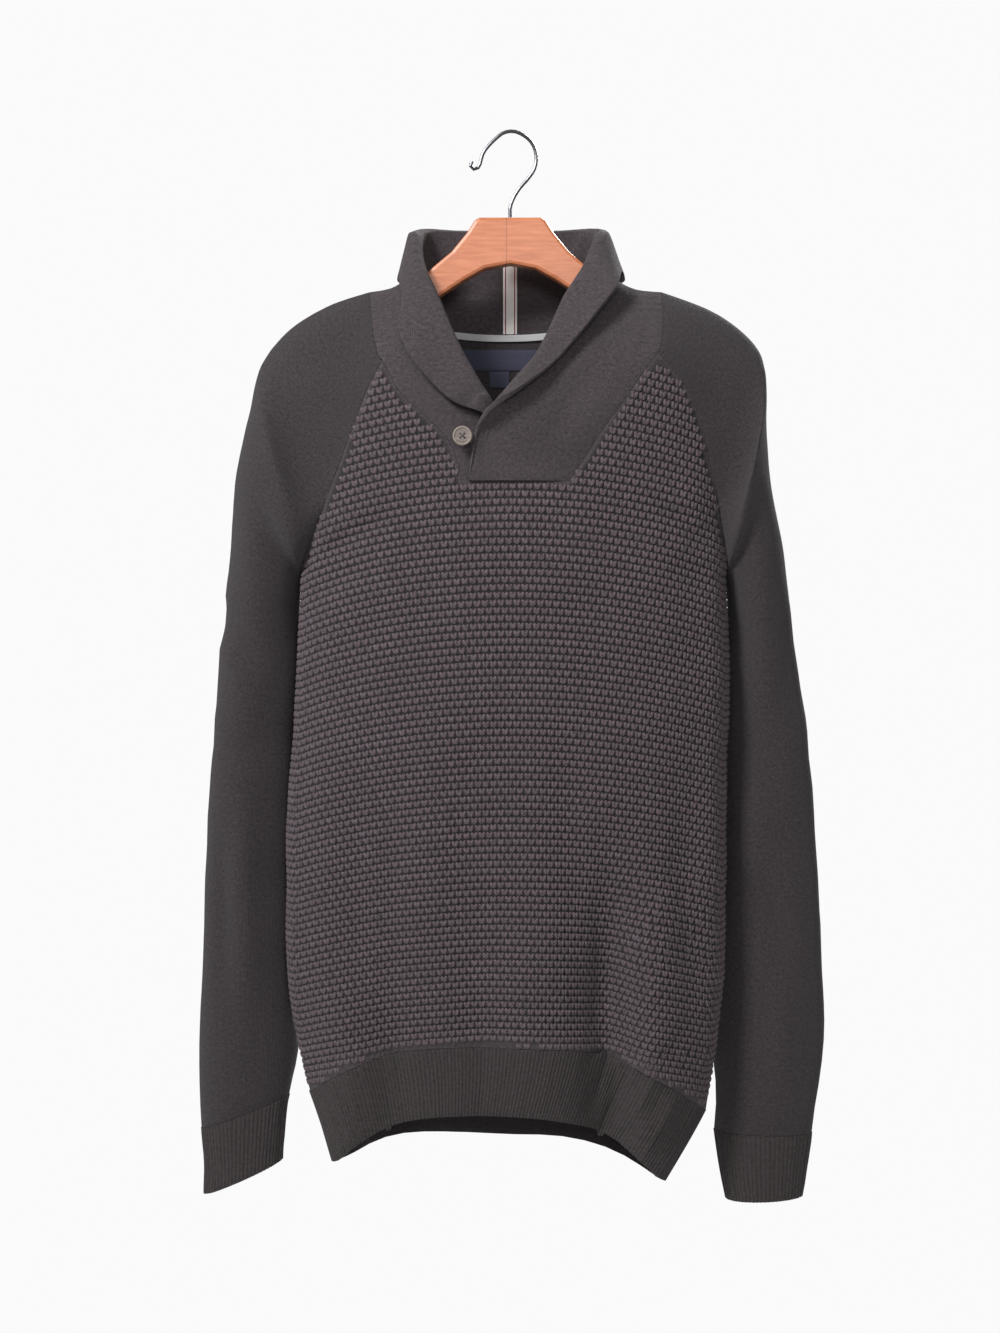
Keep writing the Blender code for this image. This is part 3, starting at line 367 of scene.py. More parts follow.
# %% Crease tables and pressing
CREASE_COLUMNS = "side top_x top_z low_x low_z width height"
CREASES = {
    "body": table(
        CREASE_COLUMNS,
        (-1, -168, -372, -96, -330, 9, -2.6),
        (-1, -172, -400, -120, -372, 11, -2.0),
        (-1, 176, -366, 118, -322, 10, -2.4),
        (-1, 178, -398, 132, -372, 12, -1.8),
        (-1, -60, -470, -66, -700, 24, 2.0),
        (-1, 46, -520, 52, -760, 14, -1.8),
        (-1, -132, -560, -128, -770, 16, -2.2),
        (-1, 146, -560, 150, -740, 14, -2.4),
        (1, -150, -330, -90, -420, 16, -3.0),
        (1, 150, -325, 96, -410, 16, -3.0),
        (1, -56, -250, -64, -640, 20, -3.0),
        (1, 50, -300, 62, -700, 18, 2.6),
        (1, -20, -560, -14, -780, 16, -2.4),
        (1, 118, -560, 122, -780, 14, -2.6),
    ),
    "sleeve_right": table(
        CREASE_COLUMNS,
        (-1, -252, -408, -212, -468, 9, -3.4),
        (-1, -256, -440, -222, -486, 8, 2.0),
        (-1, -262, -524, -214, -548, 8, -2.2),
        (-1, -226, -250, -222, -420, 14, 2.6),
        (-1, -232, -560, -226, -800, 11, 2.6),
        (-1, -252, -600, -250, -760, 9, -2.2),
        (1, -208, -300, -236, -430, 15, -3.4),
        (1, -250, -480, -214, -540, 12, -3.2),
        (1, -232, -560, -236, -800, 13, 3.0),
    ),
    "sleeve_left": table(
        CREASE_COLUMNS,
        (-1, 216, -330, 214, -560, 12, 3.0),
        (-1, 238, -420, 246, -520, 10, -2.4),
        (-1, 214, -560, 208, -700, 11, 3.0),
        (-1, 200, -626, 250, -724, 12, -3.6),
        (-1, 226, -598, 262, -640, 10, -2.0),
        (-1, 232, -740, 236, -822, 10, 2.2),
        (1, 206, -300, 238, -430, 15, -3.4),
        (1, 252, -500, 216, -560, 12, -3.2),
        (1, 232, -580, 236, -800, 13, 3.0),
    ),
}
CREASES["collar"] = table(
    CREASE_COLUMNS,
    (1, -72, -76, -56, -106, 3.5, -1.6),
    (1, 70, -76, 54, -106, 3.5, -1.6),
    (-1, -96, -160, -60, -232, 9, 1.6),
    (-1, 84, -170, 40, -226, 9, 1.4),
    (-1, 70, -214, 30, -280, 12, -1.6),
    (1, -60, -92, -50, -140, 8, -1.6),
    (1, 34, -90, 40, -140, 8, 1.4),
)
SIDE_FADE = 0.35
CREASE_GAIN = 1.6
WAVE_SIZE = 42 * MM
WAVE_HEIGHT = 1.5 * MM
RIPPLE_SIZE = 13 * MM
RIPPLE_HEIGHT = 0.22 * MM
WAVE_PLACE = 3.0
TUCK = 7 * MM
TUCK_TOP = (-470, -400)
TUCK_LOW = (-850, -790)
SEAM_WIDTH = (2 * MM, 22 * MM)
SEAM_LOW = -0.5
RIM_STEP = 4 * MM


def crease_heights(rows, points, facing):
    """The height of a group's creases at each point, in metres."""
    x, z = points[:, 0] / MM, points[:, 2] / MM
    total = np.zeros(len(points))
    for side, top_x, top_z, low_x, low_z, width, height in zip(*rows.values()):
        run = np.array([low_x - top_x, low_z - top_z])
        length = np.hypot(*run)
        along = ((x - top_x) * run[0] + (z - top_z) * run[1]) / length**2
        off = ((x - top_x) * run[1] - (z - top_z) * run[0]) / length
        ends = fade(along, -0.1, 0.35) * (1 - fade(along, 0.6, 1.1))
        shown = fade(facing[:, 1] * side, 0.0, SIDE_FADE)
        total += CREASE_GAIN * height * ends * shown * np.exp(-((off / width) ** 2))
    return total * MM


def waves(points, seed):
    """Small waves all over the cloth, the same ones each time."""
    shift = Vector((seed, 2 * seed, 3 * seed))
    heights = np.empty(len(points))
    for i, point in enumerate(points):
        place = Vector(point)
        wide = noise.noise(place / WAVE_SIZE + shift) * WAVE_HEIGHT
        heights[i] = wide + noise.noise(place / RIPPLE_SIZE + shift) * RIPPLE_HEIGHT
    return heights


def tuck(group, points, facing):
    """How far a sleeve's inner side is drawn in behind the body's side."""
    inward = 1 if group == "sleeve_right" else -1
    turned_in = fade(facing[:, 0] * inward, 0.2, 0.9)
    below_arm = 1 - fade(points[:, 2] / MM, *TUCK_TOP)
    above_hem = fade(points[:, 2] / MM, *TUCK_LOW)
    return inward * TUCK * turned_in * below_arm * above_hem


def nearest_of(points):
    """A tree that finds the nearest of some points."""
    tree = KDTree(len(points))
    for i, point in enumerate(points):
        tree.insert(point, i)
    tree.balance()
    return tree


def seam_calm(points):
    """0 along the raglan and neck seams, and 1 away from them, so that the panels still meet."""
    near = np.array([seams.find(point)[2] for point in points])
    return fade(near, *SEAM_WIDTH)


def rim_points(node):
    """Points along the rims of a solid."""
    shape = bmesh.new()
    shape.from_mesh(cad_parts[node].data)
    bmesh.ops.remove_doubles(shape, verts=shape.verts, dist=WELD)
    places = []
    for edge in shape.edges:
        if is_rim(edge, False, True):
            a, b = (vertex.co for vertex in edge.verts)
            steps = max(1, math.ceil((b - a).length / RIM_STEP))
            places += [a.lerp(b, i / steps) for i in range(steps + 1)]
    shape.free()
    return places


rims = {node: rim_points(node) for node in ("sleeve_right", "sleeve_left", "front", "back")}
seam_points = [point for places in rims.values() for point in places if point.z > SEAM_LOW]
low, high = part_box("button")
seam_points.append((low + high) / 2)
seams = nearest_of(seam_points)

for group, nodes in GROUPS.items():
    for node in nodes:
        mesh = panels[node].data
        points = points_of(mesh)
        _, _, facing = tubes[group].measure(points)
        heights = crease_heights(CREASES[group], points, facing) + waves(points, WAVE_PLACE)
        moved = points + facing * (heights * seam_calm(points))[:, None]
        if group.startswith("sleeve"):
            moved[:, 0] += tuck(group, points, facing)
        put_points(mesh, moved)

# %% Rims and UV maps
for group, nodes in GROUPS.items():
    for node in nodes:
        piece = panels[node]
        soften_rims(piece, node.startswith(("hem", "cuff")))
        mesh = piece.data
        u, v, _ = tubes[group].measure(points_of(mesh))
        corners = np.empty(len(mesh.loops), int)
        mesh.loops.foreach_get("vertex_index", corners)
        cloth = mesh.uv_layers.new(name="cloth")
        cloth.data.foreach_set("uv", np.stack([u[corners], v[corners]], axis=1).ravel())
        piece.data.uv_layers.active = cloth


# %% [markdown]
# ## Yarn
# The yarn is a charcoal melange: dark and light fibres twisted together with a slight brown and
# violet cast. Each stitch of jersey is a small V, so the bump adds two slanted legs to a wale.
# The colour is flecked by the fibres and darkened between the legs as painted shade of the stitch
# hollows, and a little sheen stands for the fuzz of the yarn. Under the raised stitches the ground
# is painted darker still, as the shade in the holes between them.


# %% Material helpers
def linear(*colour):
    """A colour from its 0 to 255 values, as the shader needs it."""
    shares = [value / 255 for value in colour]
    return [s / 12.92 if s <= 0.04045 else ((s + 0.055) / 1.055) ** 2.4 for s in shares] + [1.0]


class Finish:
    """A material and short ways to build its nodes."""

    def __init__(self, name, **sockets):
        self.material = bpy.data.materials.new(name)
        self.material.use_nodes = True
        self.tree = self.material.node_tree
        self.shader = self.tree.nodes["Principled BSDF"]
        for socket, value in sockets.items():
            self.shader.inputs[socket.replace("_", " ")].default_value = value

    def node(self, kind, **settings):
        made = self.tree.nodes.new("ShaderNode" + kind)
        for name, value in settings.items():
            setattr(made, name, value)
        return made

    def join(self, value, socket):
        if isinstance(value, bpy.types.NodeSocket):
            self.tree.links.new(value, socket)
        elif value is not None:
            socket.default_value = value

    def math(self, operation, a, b=None, c=None):
        made = self.node("Math", operation=operation)
        for value, socket in zip((a, b, c), made.inputs):
            self.join(value, socket)
        return made.outputs[0]

    def mapped(self, vector, scale, location=(0, 0, 0), rotation=(0, 0, 0)):
        made = self.node("Mapping")
        self.join(vector, made.inputs["Vector"])
        made.inputs["Scale"].default_value = scale
        made.inputs["Location"].default_value = location
        made.inputs["Rotation"].default_value = rotation
        return made.outputs[0]

    def cloud(self, vector, scale, detail=2.0, roughness=0.5):
        made = self.node("TexNoise")
        self.join(vector, made.inputs["Vector"])
        made.inputs["Scale"].default_value = scale
        made.inputs["Detail"].default_value = detail
        made.inputs["Roughness"].default_value = roughness
        return made.outputs[0]

    def ramp(self, value, *stops):
        made = self.node("ValToRGB")
        self.join(value, made.inputs[0])
        points = made.color_ramp.elements
        points[0].position, points[0].color = stops[0]
        points[1].position, points[1].color = stops[-1]
        for place, colour in stops[1:-1]:
            points.new(place).color = colour
        return made.outputs[0]

    def mix(self, share, a, b, blend="MIX"):
        made = self.node("Mix", data_type="RGBA", blend_type=blend)
        self.join(share, made.inputs[0])
        self.join(a, made.inputs[6])
        self.join(b, made.inputs[7])
        return made.outputs[2]

    def bump(self, height, strength, distance, under=None):
        made = self.node("Bump")
        made.inputs["Strength"].default_value = strength
        made.inputs["Distance"].default_value = distance
        self.join(height, made.inputs["Height"])
        self.join(under, made.inputs["Normal"])
        return made.outputs[0]

    def shade(self, colour=None, normal=None, roughness=None):
        self.join(colour, self.shader.inputs["Base Color"])
        self.join(normal, self.shader.inputs["Normal"])
        self.join(roughness, self.shader.inputs["Roughness"])
        return self.material

    def separate(self, vector):
        made = self.node("SeparateXYZ")
        self.join(vector, made.inputs[0])
        return made.outputs

    def uv(self, name):
        return self.node("UVMap", uv_map=name).outputs[0]

    def place(self):
        return self.node("TexCoord").outputs["Object"]


# %% Knitted finishes
def knitted(name, dark, light, wale, course, strength, painted_shade_strength, painted_hole_shade=False):
    """Plain knitting in a melange yarn: wale and course are a stitch's width and height."""
    yarn = Finish(name, Roughness=0.95, Sheen_Weight=0.06, Sheen_Roughness=0.6)
    cloth = yarn.uv("cloth")
    x, y, _ = yarn.separate(yarn.mapped(cloth, (1 / wale, 1 / course, 1)))
    across = yarn.math("ABSOLUTE", yarn.math("SUBTRACT", yarn.math("FRACT", x), 0.5))
    leg = yarn.math("MULTIPLY", yarn.math("SUBTRACT", across, 0.25), 4.0)
    leg_height = yarn.math("SUBTRACT", 1.0, yarn.math("MULTIPLY", leg, leg))
    slant = yarn.math("FRACT", yarn.math("ADD", y, yarn.math("MULTIPLY", across, 1.3)))
    bulge = yarn.math("SINE", yarn.math("MULTIPLY", slant, math.pi))
    height = yarn.math("MULTIPLY", leg_height, yarn.math("MULTIPLY_ADD", bulge, 0.6, 0.4))
    fibres = yarn.cloud(yarn.mapped(cloth, (1.0, 0.45, 1.0)), 1100, 3.0, 0.7)
    flecks = yarn.cloud(cloth, 330, 2.0, 0.6)
    drift = yarn.cloud(yarn.place(), 22, 3.0, 0.55)
    fine = yarn.math("MULTIPLY", fibres, 0.6)
    blend = yarn.math("ADD", fine, yarn.math("MULTIPLY", flecks, 0.4))
    colour = yarn.ramp(blend, (0.36, dark), (0.64, light))
    colour = yarn.mix(yarn.math("MULTIPLY", drift, 0.35), colour, linear(58, 50, 50))
    # Painted shade: the colour is darkened in the hollows between the stitch legs.
    hollow_shade = yarn.math("MULTIPLY", yarn.math("SUBTRACT", 1.0, height), painted_shade_strength)
    colour = yarn.mix(hollow_shade, colour, linear(14, 12, 14))
    # Painted shade: under the raised basket stitches the ground is darkened, as the shade in the
    # holes between them.
    if painted_hole_shade:
        under = yarn.node("Attribute", attribute_name="under").outputs["Fac"]
        colour = yarn.mix(yarn.math("MULTIPLY", under, 0.8), colour, linear(10, 8, 9))
    fuzz = yarn.math("MULTIPLY_ADD", fibres, 0.5, height)
    return yarn.shade(colour, yarn.bump(fuzz, strength, 0.5 * MM))


basket_yarn = knitted(
    "basket_yarn",
    linear(38, 33, 35),
    linear(90, 80, 85),
    wale=2.1 * MM,
    course=1.6 * MM,
    strength=0.5,
    painted_shade_strength=0.3,
    painted_hole_shade=True,
)
jersey = knitted(
    "jersey",
    linear(25, 21, 23),
    linear(70, 62, 66),
    wale=2.2 * MM,
    course=1.7 * MM,
    strength=0.8,
    painted_shade_strength=0.4,
)
rib_yarn = knitted(
    "rib_yarn",
    linear(27, 23, 23),
    linear(68, 60, 61),
    wale=1.7 * MM,
    course=2.1 * MM,
    strength=0.5,
    painted_shade_strength=0.35,
)
collar_jersey = knitted(
    "collar_jersey",
    linear(38, 32, 35),
    linear(88, 78, 83),
    wale=1.7 * MM,
    course=1.4 * MM,
    strength=0.6,
    painted_shade_strength=0.35,
)

FINISH_OF = {
    "front": (basket_yarn, "basket_knit"),
    "back": (jersey, "plain_knit"),
    "sleeve_right": (jersey, "plain_knit"),
    "sleeve_left": (jersey, "plain_knit"),
    "cuff_right": (rib_yarn, "rib_knit"),
    "cuff_left": (rib_yarn, "rib_knit"),
    "hem_front": (rib_yarn, "rib_knit"),
    "hem_back": (rib_yarn, "rib_knit"),
    "collar_right": (collar_jersey, "collar_knit"),
    "collar_left": (collar_jersey, "collar_knit"),
}
for node, (material, slot) in FINISH_OF.items():
    piece = panels[node]
    piece.data.materials.clear()
    piece.data.materials.append(material)
    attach(piece, "root")
    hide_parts(node)


# %% [markdown]
# ## The basket stitches
# The front is one raised stitch repeated thousands of times, each row shifted by half a stitch,
# with a small dark hole wherever four stitches meet. That is work for Geometry Nodes: points are
# laid over the front in rows, and one small stitch is placed on every point, turned to the cloth.

# %% Where the stitches lie
HALF_ROW = 0.27
ROW_START = 6 * MM
ARCH_EASE = 0.25
PITCH_TOP = 7.2 * MM
PITCH_LOW = 6.4 * MM
ROW_TOP = 6.9 * MM
ROW_LOW = 5.6 * MM
ARCH = 34 * MM
ARCH_HALF = 190 * MM
PLAIN_STRIP = 3.2 * MM
FRONT_TOP = -196 * MM
FRONT_LOW = -850 * MM

front_tree = BVHTree.FromObject(panels["front"], bpy.context.evaluated_depsgraph_get())
front_rim = nearest_of(rims["front"])
body = tubes["body"]
# The share of painted shade on the front's ground: none in the plain strip by the rims, full under
# the stitches.
under = [
    float(fade(front_rim.find(vertex.co)[2], PLAIN_STRIP * 0.6, PLAIN_STRIP * 1.6))
    for vertex in panels["front"].data.vertices
]
painted_hole_shade = panels["front"].data.attributes.new("under", "FLOAT", "POINT")
painted_hole_shade.data.foreach_set("value", under)


def on_front(length, level):
    """The point and the facing of the front at a length round from the middle, at a level."""
    place = np.clip((level - body.line[0, 2]) / (body.line[-1, 2] - body.line[0, 2]), 0, 1)
    i = int(round(place * (GUIDE_STEPS - 1)))
    start, inward = body.ray(i, np.interp(length, body.rounds[i], TURNS), level)
    hit = front_tree.ray_cast(start, inward, RAY_START + body.deep)
    return (None, None) if hit[0] is None else (hit[0], hit[1])


def stitch_rows():
    """For every stitch: its length round, its level, its width and height, and its share down."""
    rows = []
    level = FRONT_TOP
    number = 0
    while level > FRONT_LOW - ARCH:
        share = (level - FRONT_TOP) / (FRONT_LOW - FRONT_TOP)
        pitch = PITCH_TOP + (PITCH_LOW - PITCH_TOP) * min(1, share * 2)
        tall = ROW_TOP + (ROW_LOW - ROW_TOP) * share
        count = int(HALF_ROW / pitch)
        for column in range(-count, count + 1):
            length = (column + 0.5 * (number % 2)) * pitch
            bend = ARCH * min(1, length**2 / ARCH_HALF**2)
            bend *= 1 - ARCH_EASE * share
            rows.append((length, level - bend + ROW_START, pitch, tall, share))
        level -= tall
        number += 1
    return rows


places, turns, sizes = [], [], []
for length, level, pitch, tall, share in stitch_rows():
    point, facing = on_front(length, level)
    if point is None or front_rim.find(point)[2] < PLAIN_STRIP:
        continue
    if facing.dot(Vector((point.x - 2 * MM, point.y * 4, 0))) <= 0:
        continue
    slope = -2 * ARCH * length / ARCH_HALF**2 * (1 - ARCH_EASE * share)
    run = Vector((0, 0, 1)).cross(facing).normalized()
    run = (run + Vector((0, 0, 1)) * slope).normalized()
    up = facing.cross(run).normalized()
    across_way = up.cross(facing).normalized()
    basis = Matrix((across_way, up, facing)).transposed()
    places.append(point)
    turns.append(basis.to_euler())
    sizes.append((pitch, tall, 1.0))
print("basket stitches:", len(places))


# %% One stitch and the tree that repeats it
STROKE_SIDES = 5
STROKE_RINGS = ((-0.28, 0.25), (0.24, 0.30))
STROKE_DEEP = 0.24
STROKE_TILT = 0.06
STITCH_DEEP = 6.0 * MM


def stitch_mesh():
    """One stitch: two fat strokes of yarn that lean together, 1 wide and 1 tall."""
    shape = bmesh.new()
    for lean in (-1, 1):
        rings = []
        for along, width in STROKE_RINGS:
            middle = Vector((lean * (0.14 + 0.10 * (along + 0.5)), along, 0.0))
            ring = []
            for k in range(STROKE_SIDES):
                turn = 2 * math.pi * k / STROKE_SIDES
                across = math.cos(turn)
                out = (across * width, STROKE_TILT * across * lean, math.sin(turn) * STROKE_DEEP)
                ring.append(shape.verts.new(middle + Vector(out)))
            rings.append(ring)
        low = shape.verts.new((lean * 0.06, -0.58, -0.08))
        high = shape.verts.new((lean * 0.28, 0.54, -0.08))
        for k in range(STROKE_SIDES):
            after = (k + 1) % STROKE_SIDES
            shape.faces.new((rings[0][k], rings[0][after], rings[1][after], rings[1][k]))
            shape.faces.new((rings[0][after], rings[0][k], low))
            shape.faces.new((rings[1][k], rings[1][after], high))
    bmesh.ops.recalc_face_normals(shape, faces=shape.faces)
    mesh = bpy.data.meshes.new("one_stitch")
    shape.to_mesh(mesh)
    shape.free()
    mesh.shade_smooth()
    return mesh


def stitch_tree(one, material):
    """A tree that puts one stitch on every point and makes them real."""
    tree = bpy.data.node_groups.new("basket_stitches", "GeometryNodeTree")
    face = tree.interface
    face.new_socket("Geometry", in_out="INPUT", socket_type="NodeSocketGeometry")
    face.new_socket("Geometry", in_out="OUTPUT", socket_type="NodeSocketGeometry")
    depth = face.new_socket("Depth", in_out="INPUT", socket_type="NodeSocketFloat")
    start = tree.nodes.new("NodeGroupInput")
    end = tree.nodes.new("NodeGroupOutput")

    def attribute(name):
        node = tree.nodes.new("GeometryNodeInputNamedAttribute")
        node.data_type = "FLOAT_VECTOR"
        node.inputs["Name"].default_value = name
        return node.outputs["Attribute"]

    source = tree.nodes.new("GeometryNodeObjectInfo")
    source.inputs["Object"].default_value = one
    turn = tree.nodes.new("FunctionNodeEulerToRotation")
    tree.links.new(attribute("turn"), turn.inputs[0])
    shares = tree.nodes.new("ShaderNodeCombineXYZ")
    shares.inputs["X"].default_value = 1
    shares.inputs["Y"].default_value = 1
    tree.links.new(start.outputs["Depth"], shares.inputs["Z"])
    scale = tree.nodes.new("ShaderNodeVectorMath")
    scale.operation = "MULTIPLY"
    tree.links.new(attribute("size"), scale.inputs[0])
    tree.links.new(shares.outputs[0], scale.inputs[1])
    put = tree.nodes.new("GeometryNodeInstanceOnPoints")
    tree.links.new(start.outputs["Geometry"], put.inputs["Points"])
    tree.links.new(source.outputs["Geometry"], put.inputs["Instance"])
    tree.links.new(turn.outputs[0], put.inputs["Rotation"])
    tree.links.new(scale.outputs[0], put.inputs["Scale"])
    real = tree.nodes.new("GeometryNodeRealizeInstances")
    tree.links.new(put.outputs[0], real.inputs[0])
    paint = tree.nodes.new("GeometryNodeSetMaterial")
    paint.inputs["Material"].default_value = material
    tree.links.new(real.outputs[0], paint.inputs[0])
    tree.links.new(paint.outputs[0], end.inputs[0])
    return tree, depth.identifier


stitch_yarn = Finish("stitch_yarn", Roughness=0.95, Sheen_Weight=0.06, Sheen_Roughness=0.6)
spot = stitch_yarn.place()
fibre = stitch_yarn.cloud(spot, 1500, 2.0, 0.7)
fleck = stitch_yarn.cloud(spot, 420, 2.0, 0.6)
fine = stitch_yarn.math("MULTIPLY", fibre, 0.55)
both = stitch_yarn.math("ADD", fine, stitch_yarn.math("MULTIPLY", fleck, 0.45))
tone = stitch_yarn.ramp(both, (0.36, linear(46, 38, 43)), (0.64, linear(108, 94, 101)))
drift = stitch_yarn.math("MULTIPLY", stitch_yarn.cloud(spot, 22, 3.0), 0.35)
tone = stitch_yarn.mix(drift, tone, linear(58, 50, 50))
stitch_yarn.shade(tone, stitch_yarn.bump(fibre, 0.35, 0.3 * MM))

one_stitch = new_piece("one_stitch", stitch_mesh())
tree, depth_id = stitch_tree(one_stitch, stitch_yarn.material)
cut = len(places) // 2 + 1
for name, span in (("upper_stitches", slice(0, cut)), ("lower_stitches", slice(cut, None))):
    mesh = bpy.data.meshes.new(name)
    mesh.from_pydata([tuple(p) for p in places[span]], [], [])
    turn = mesh.attributes.new("turn", "FLOAT_VECTOR", "POINT")
    turn.data.foreach_set("vector", np.array([tuple(t) for t in turns[span]]).ravel())
    size = mesh.attributes.new("size", "FLOAT_VECTOR", "POINT")
    size.data.foreach_set("vector", np.array(sizes[span]).ravel())
    piece = new_piece(name, mesh)
    nodes = piece.modifiers.new("stitches", "NODES")
    nodes.node_group = tree
    nodes[depth_id] = STITCH_DEEP
    finished(piece)
    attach(piece, "root")
    print(piece.name, "has", len(piece.data.polygons), "faces")
bpy.data.objects.remove(one_stitch)


# %% [markdown]
# ## Wood, steel and horn
# The hanger, the hook, the button and its shank of thread already have their right shape, so
# they only need their finish. The wood has a fine joint line down its middle.

# %% Hard finishes
JOINT_OFFSET = 3.5 * MM
JOINT_HALF_WIDTH = 0.35 * MM
wood = Finish("beech", Roughness=0.42, Coat_Weight=0.15, Coat_Roughness=0.3)
spot = wood.place()
grain = wood.cloud(wood.mapped(spot, (1.0, 4.0, 9.0)), 40, 4.0, 0.6)
pores = wood.cloud(wood.mapped(spot, (1.0, 3.0, 22.0)), 190, 3.0, 0.6)
tone = wood.ramp(grain, (0.3, linear(176, 102, 64)), (0.7, linear(204, 128, 88)))
tone = wood.mix(wood.math("MULTIPLY", pores, 0.3), tone, linear(190, 108, 70))
joint = wood.math("ABSOLUTE", wood.math("ADD", wood.separate(spot)[0], JOINT_OFFSET))
joint = wood.math("LESS_THAN", joint, JOINT_HALF_WIDTH)
tone = wood.mix(wood.math("MULTIPLY", joint, 0.55), tone, linear(120, 62, 38))
beech = wood.shade(tone, wood.bump(pores, 0.12, 0.3 * MM))

metal = Finish("steel", Metallic=1.0, Roughness=0.34)
smear = metal.cloud(metal.place(), 260, 2.0)
steel = metal.shade(linear(104, 104, 108), metal.bump(smear, 0.05, 0.2 * MM))

BUTTON_RIM = 6.3 * MM
low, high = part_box("button")
bone = Finish("horn", Roughness=0.38, Coat_Weight=0.2)
veins = bone.cloud(bone.mapped(bone.place(), (1.0, 1.0, 3.2), rotation=(0, 0.5, 0)), 190, 4.0, 0.6)
tone = bone.ramp(veins, (0.32, linear(62, 52, 47)), (0.68, linear(118, 104, 96)))
x, _, z = bone.separate(bone.place())
sideways = bone.math("SUBTRACT", x, (low.x + high.x) / 2)
upwards = bone.math("SUBTRACT", z, (low.z + high.z) / 2)
squares = bone.math("ADD", bone.math("POWER", sideways, 2), bone.math("POWER", upwards, 2))
# Painted highlight: the raised rim of the button is painted lighter than its dish.
painted_rim_highlight = bone.math("GREATER_THAN", bone.math("SQRT", squares), BUTTON_RIM)
tone = bone.mix(bone.math("MULTIPLY", painted_rim_highlight, 0.6), tone, linear(150, 140, 128))
horn = bone.shade(tone, bone.bump(veins, 0.1, 0.2 * MM))


# %% Woven finishes
def woven(name, dark, light, pitch):
    """Woven cloth with a fine diagonal rib: the finish, its colour and its ridges."""
    cloth = Finish(name, Roughness=0.8, Sheen_Weight=0.1)
    x, _, z = cloth.separate(cloth.place())
    slant = cloth.math("MULTIPLY", cloth.math("ADD", x, z), 2 * math.pi / pitch)
    ridge = cloth.math("MULTIPLY_ADD", cloth.math("SINE", slant), 0.5, 0.5)
    speckle = cloth.cloud(cloth.place(), 900, 2.0)
    share = cloth.math("MULTIPLY_ADD", speckle, 0.5, cloth.math("MULTIPLY", ridge, 0.4))
    tone = cloth.mix(share, dark, light)
    return cloth, tone, ridge


cloth, tone, ridge = woven(
    "neck_tape_cotton", linear(150, 150, 152), linear(206, 206, 208), 1.2 * MM
)
neck_cotton = cloth.shade(tone, cloth.bump(ridge, 0.4, 0.3 * MM))

LINE_INSET = 2.2 * MM
LINE_HALF_WIDTH = 0.5 * MM
low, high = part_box("back_tape")
cloth, tone, ridge = woven(
    "back_tape_cotton", linear(190, 188, 184), linear(236, 234, 230), 1.0 * MM
)
x, _, _ = cloth.separate(cloth.place())
off = cloth.math("ABSOLUTE", cloth.math("SUBTRACT", x, (low.x + high.x) / 2))
line = cloth.math("COMPARE", off, (high.x - low.x) / 2 - LINE_INSET, LINE_HALF_WIDTH)
tone = cloth.mix(line, tone, linear(128, 30, 54))
tape_cotton = cloth.shade(tone, cloth.bump(ridge, 0.4, 0.3 * MM))

cloth, tone, ridge = woven("label_satin", linear(34, 35, 50), linear(62, 63, 84), 0.7 * MM)
satin = cloth.shade(tone, cloth.bump(ridge, 0.3, 0.2 * MM))

cloth, tone, ridge = woven("sewing_thread", linear(46, 42, 42), linear(84, 78, 78), 0.6 * MM)
thread = cloth.shade(tone, cloth.bump(ridge, 0.4, 0.2 * MM))

# %% Solids that keep their shape
for node, material in (
    ("hanger", beech),
    ("hook", steel),
    ("button", horn),
    ("button_shank", thread),
):
    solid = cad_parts[node]
    solid.data.materials.clear()
    solid.data.materials.append(material)

# %% [markdown]
# ## Tapes and labels
# Inside the back neck a grey tape covers the neck seam, a striped one covers the collar's seam,
# and two plain labels hang from the neck. They become fine panels too, with smaller rims.

# %% Tapes and labels
TAPE_ROUND = 0.22 * MM
for node, name, material, slot in (
    ("neck_tape", "neck_tape_band", neck_cotton, "grey_tape"),
    ("back_tape", "back_tape_band", tape_cotton, "striped_tape"),
    ("neck_label", "plain_neck_label", satin, "navy_label"),
    ("size_label", "plain_size_label", satin, "navy_label"),
):
    panels[node] = fine_panel(node, name, 1)
    soften_rims(panels[node], width=TAPE_ROUND)
    panels[node].data.materials.clear()
    panels[node].data.materials.append(material)
    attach(panels[node], "root")
    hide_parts(node)

# %% [markdown]
# ## The thread in the button
# Two short bars of thread cross between the four holes. Each is a little rod that lies in the
# dish, and the second one lies on the first.

# %% Button thread
HOLE_OFFSET = 1.8 * MM
THREAD_DEPTH = 0.9 * MM
THREAD_RADIUS = 0.42 * MM
THREAD_STEP = THREAD_RADIUS * 0.6
low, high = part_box("button")
middle = (low + high) / 2
shape = bmesh.new()
for rise in (-1, 1):
    a = Vector((middle.x - HOLE_OFFSET, low.y + THREAD_DEPTH, middle.z - rise * HOLE_OFFSET))
    b = Vector((middle.x + HOLE_OFFSET, low.y + THREAD_DEPTH, middle.z + rise * HOLE_OFFSET))
    turn = (b - a).to_track_quat("Z", "Y").to_matrix().to_4x4()
    turn.translation = (a + b) / 2 - Vector((0, (rise + 1) * THREAD_STEP, 0))
    bmesh.ops.create_cone(
        shape,
        cap_ends=True,
        segments=10,
        radius1=THREAD_RADIUS,
        radius2=THREAD_RADIUS,
        depth=(b - a).length,
        matrix=turn,
    )
mesh = bpy.data.meshes.new("button_thread")
shape.to_mesh(mesh)
shape.free()
mesh.shade_smooth()
mesh.materials.append(thread)
button_thread = new_piece("button_thread", mesh)
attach(button_thread, "root")
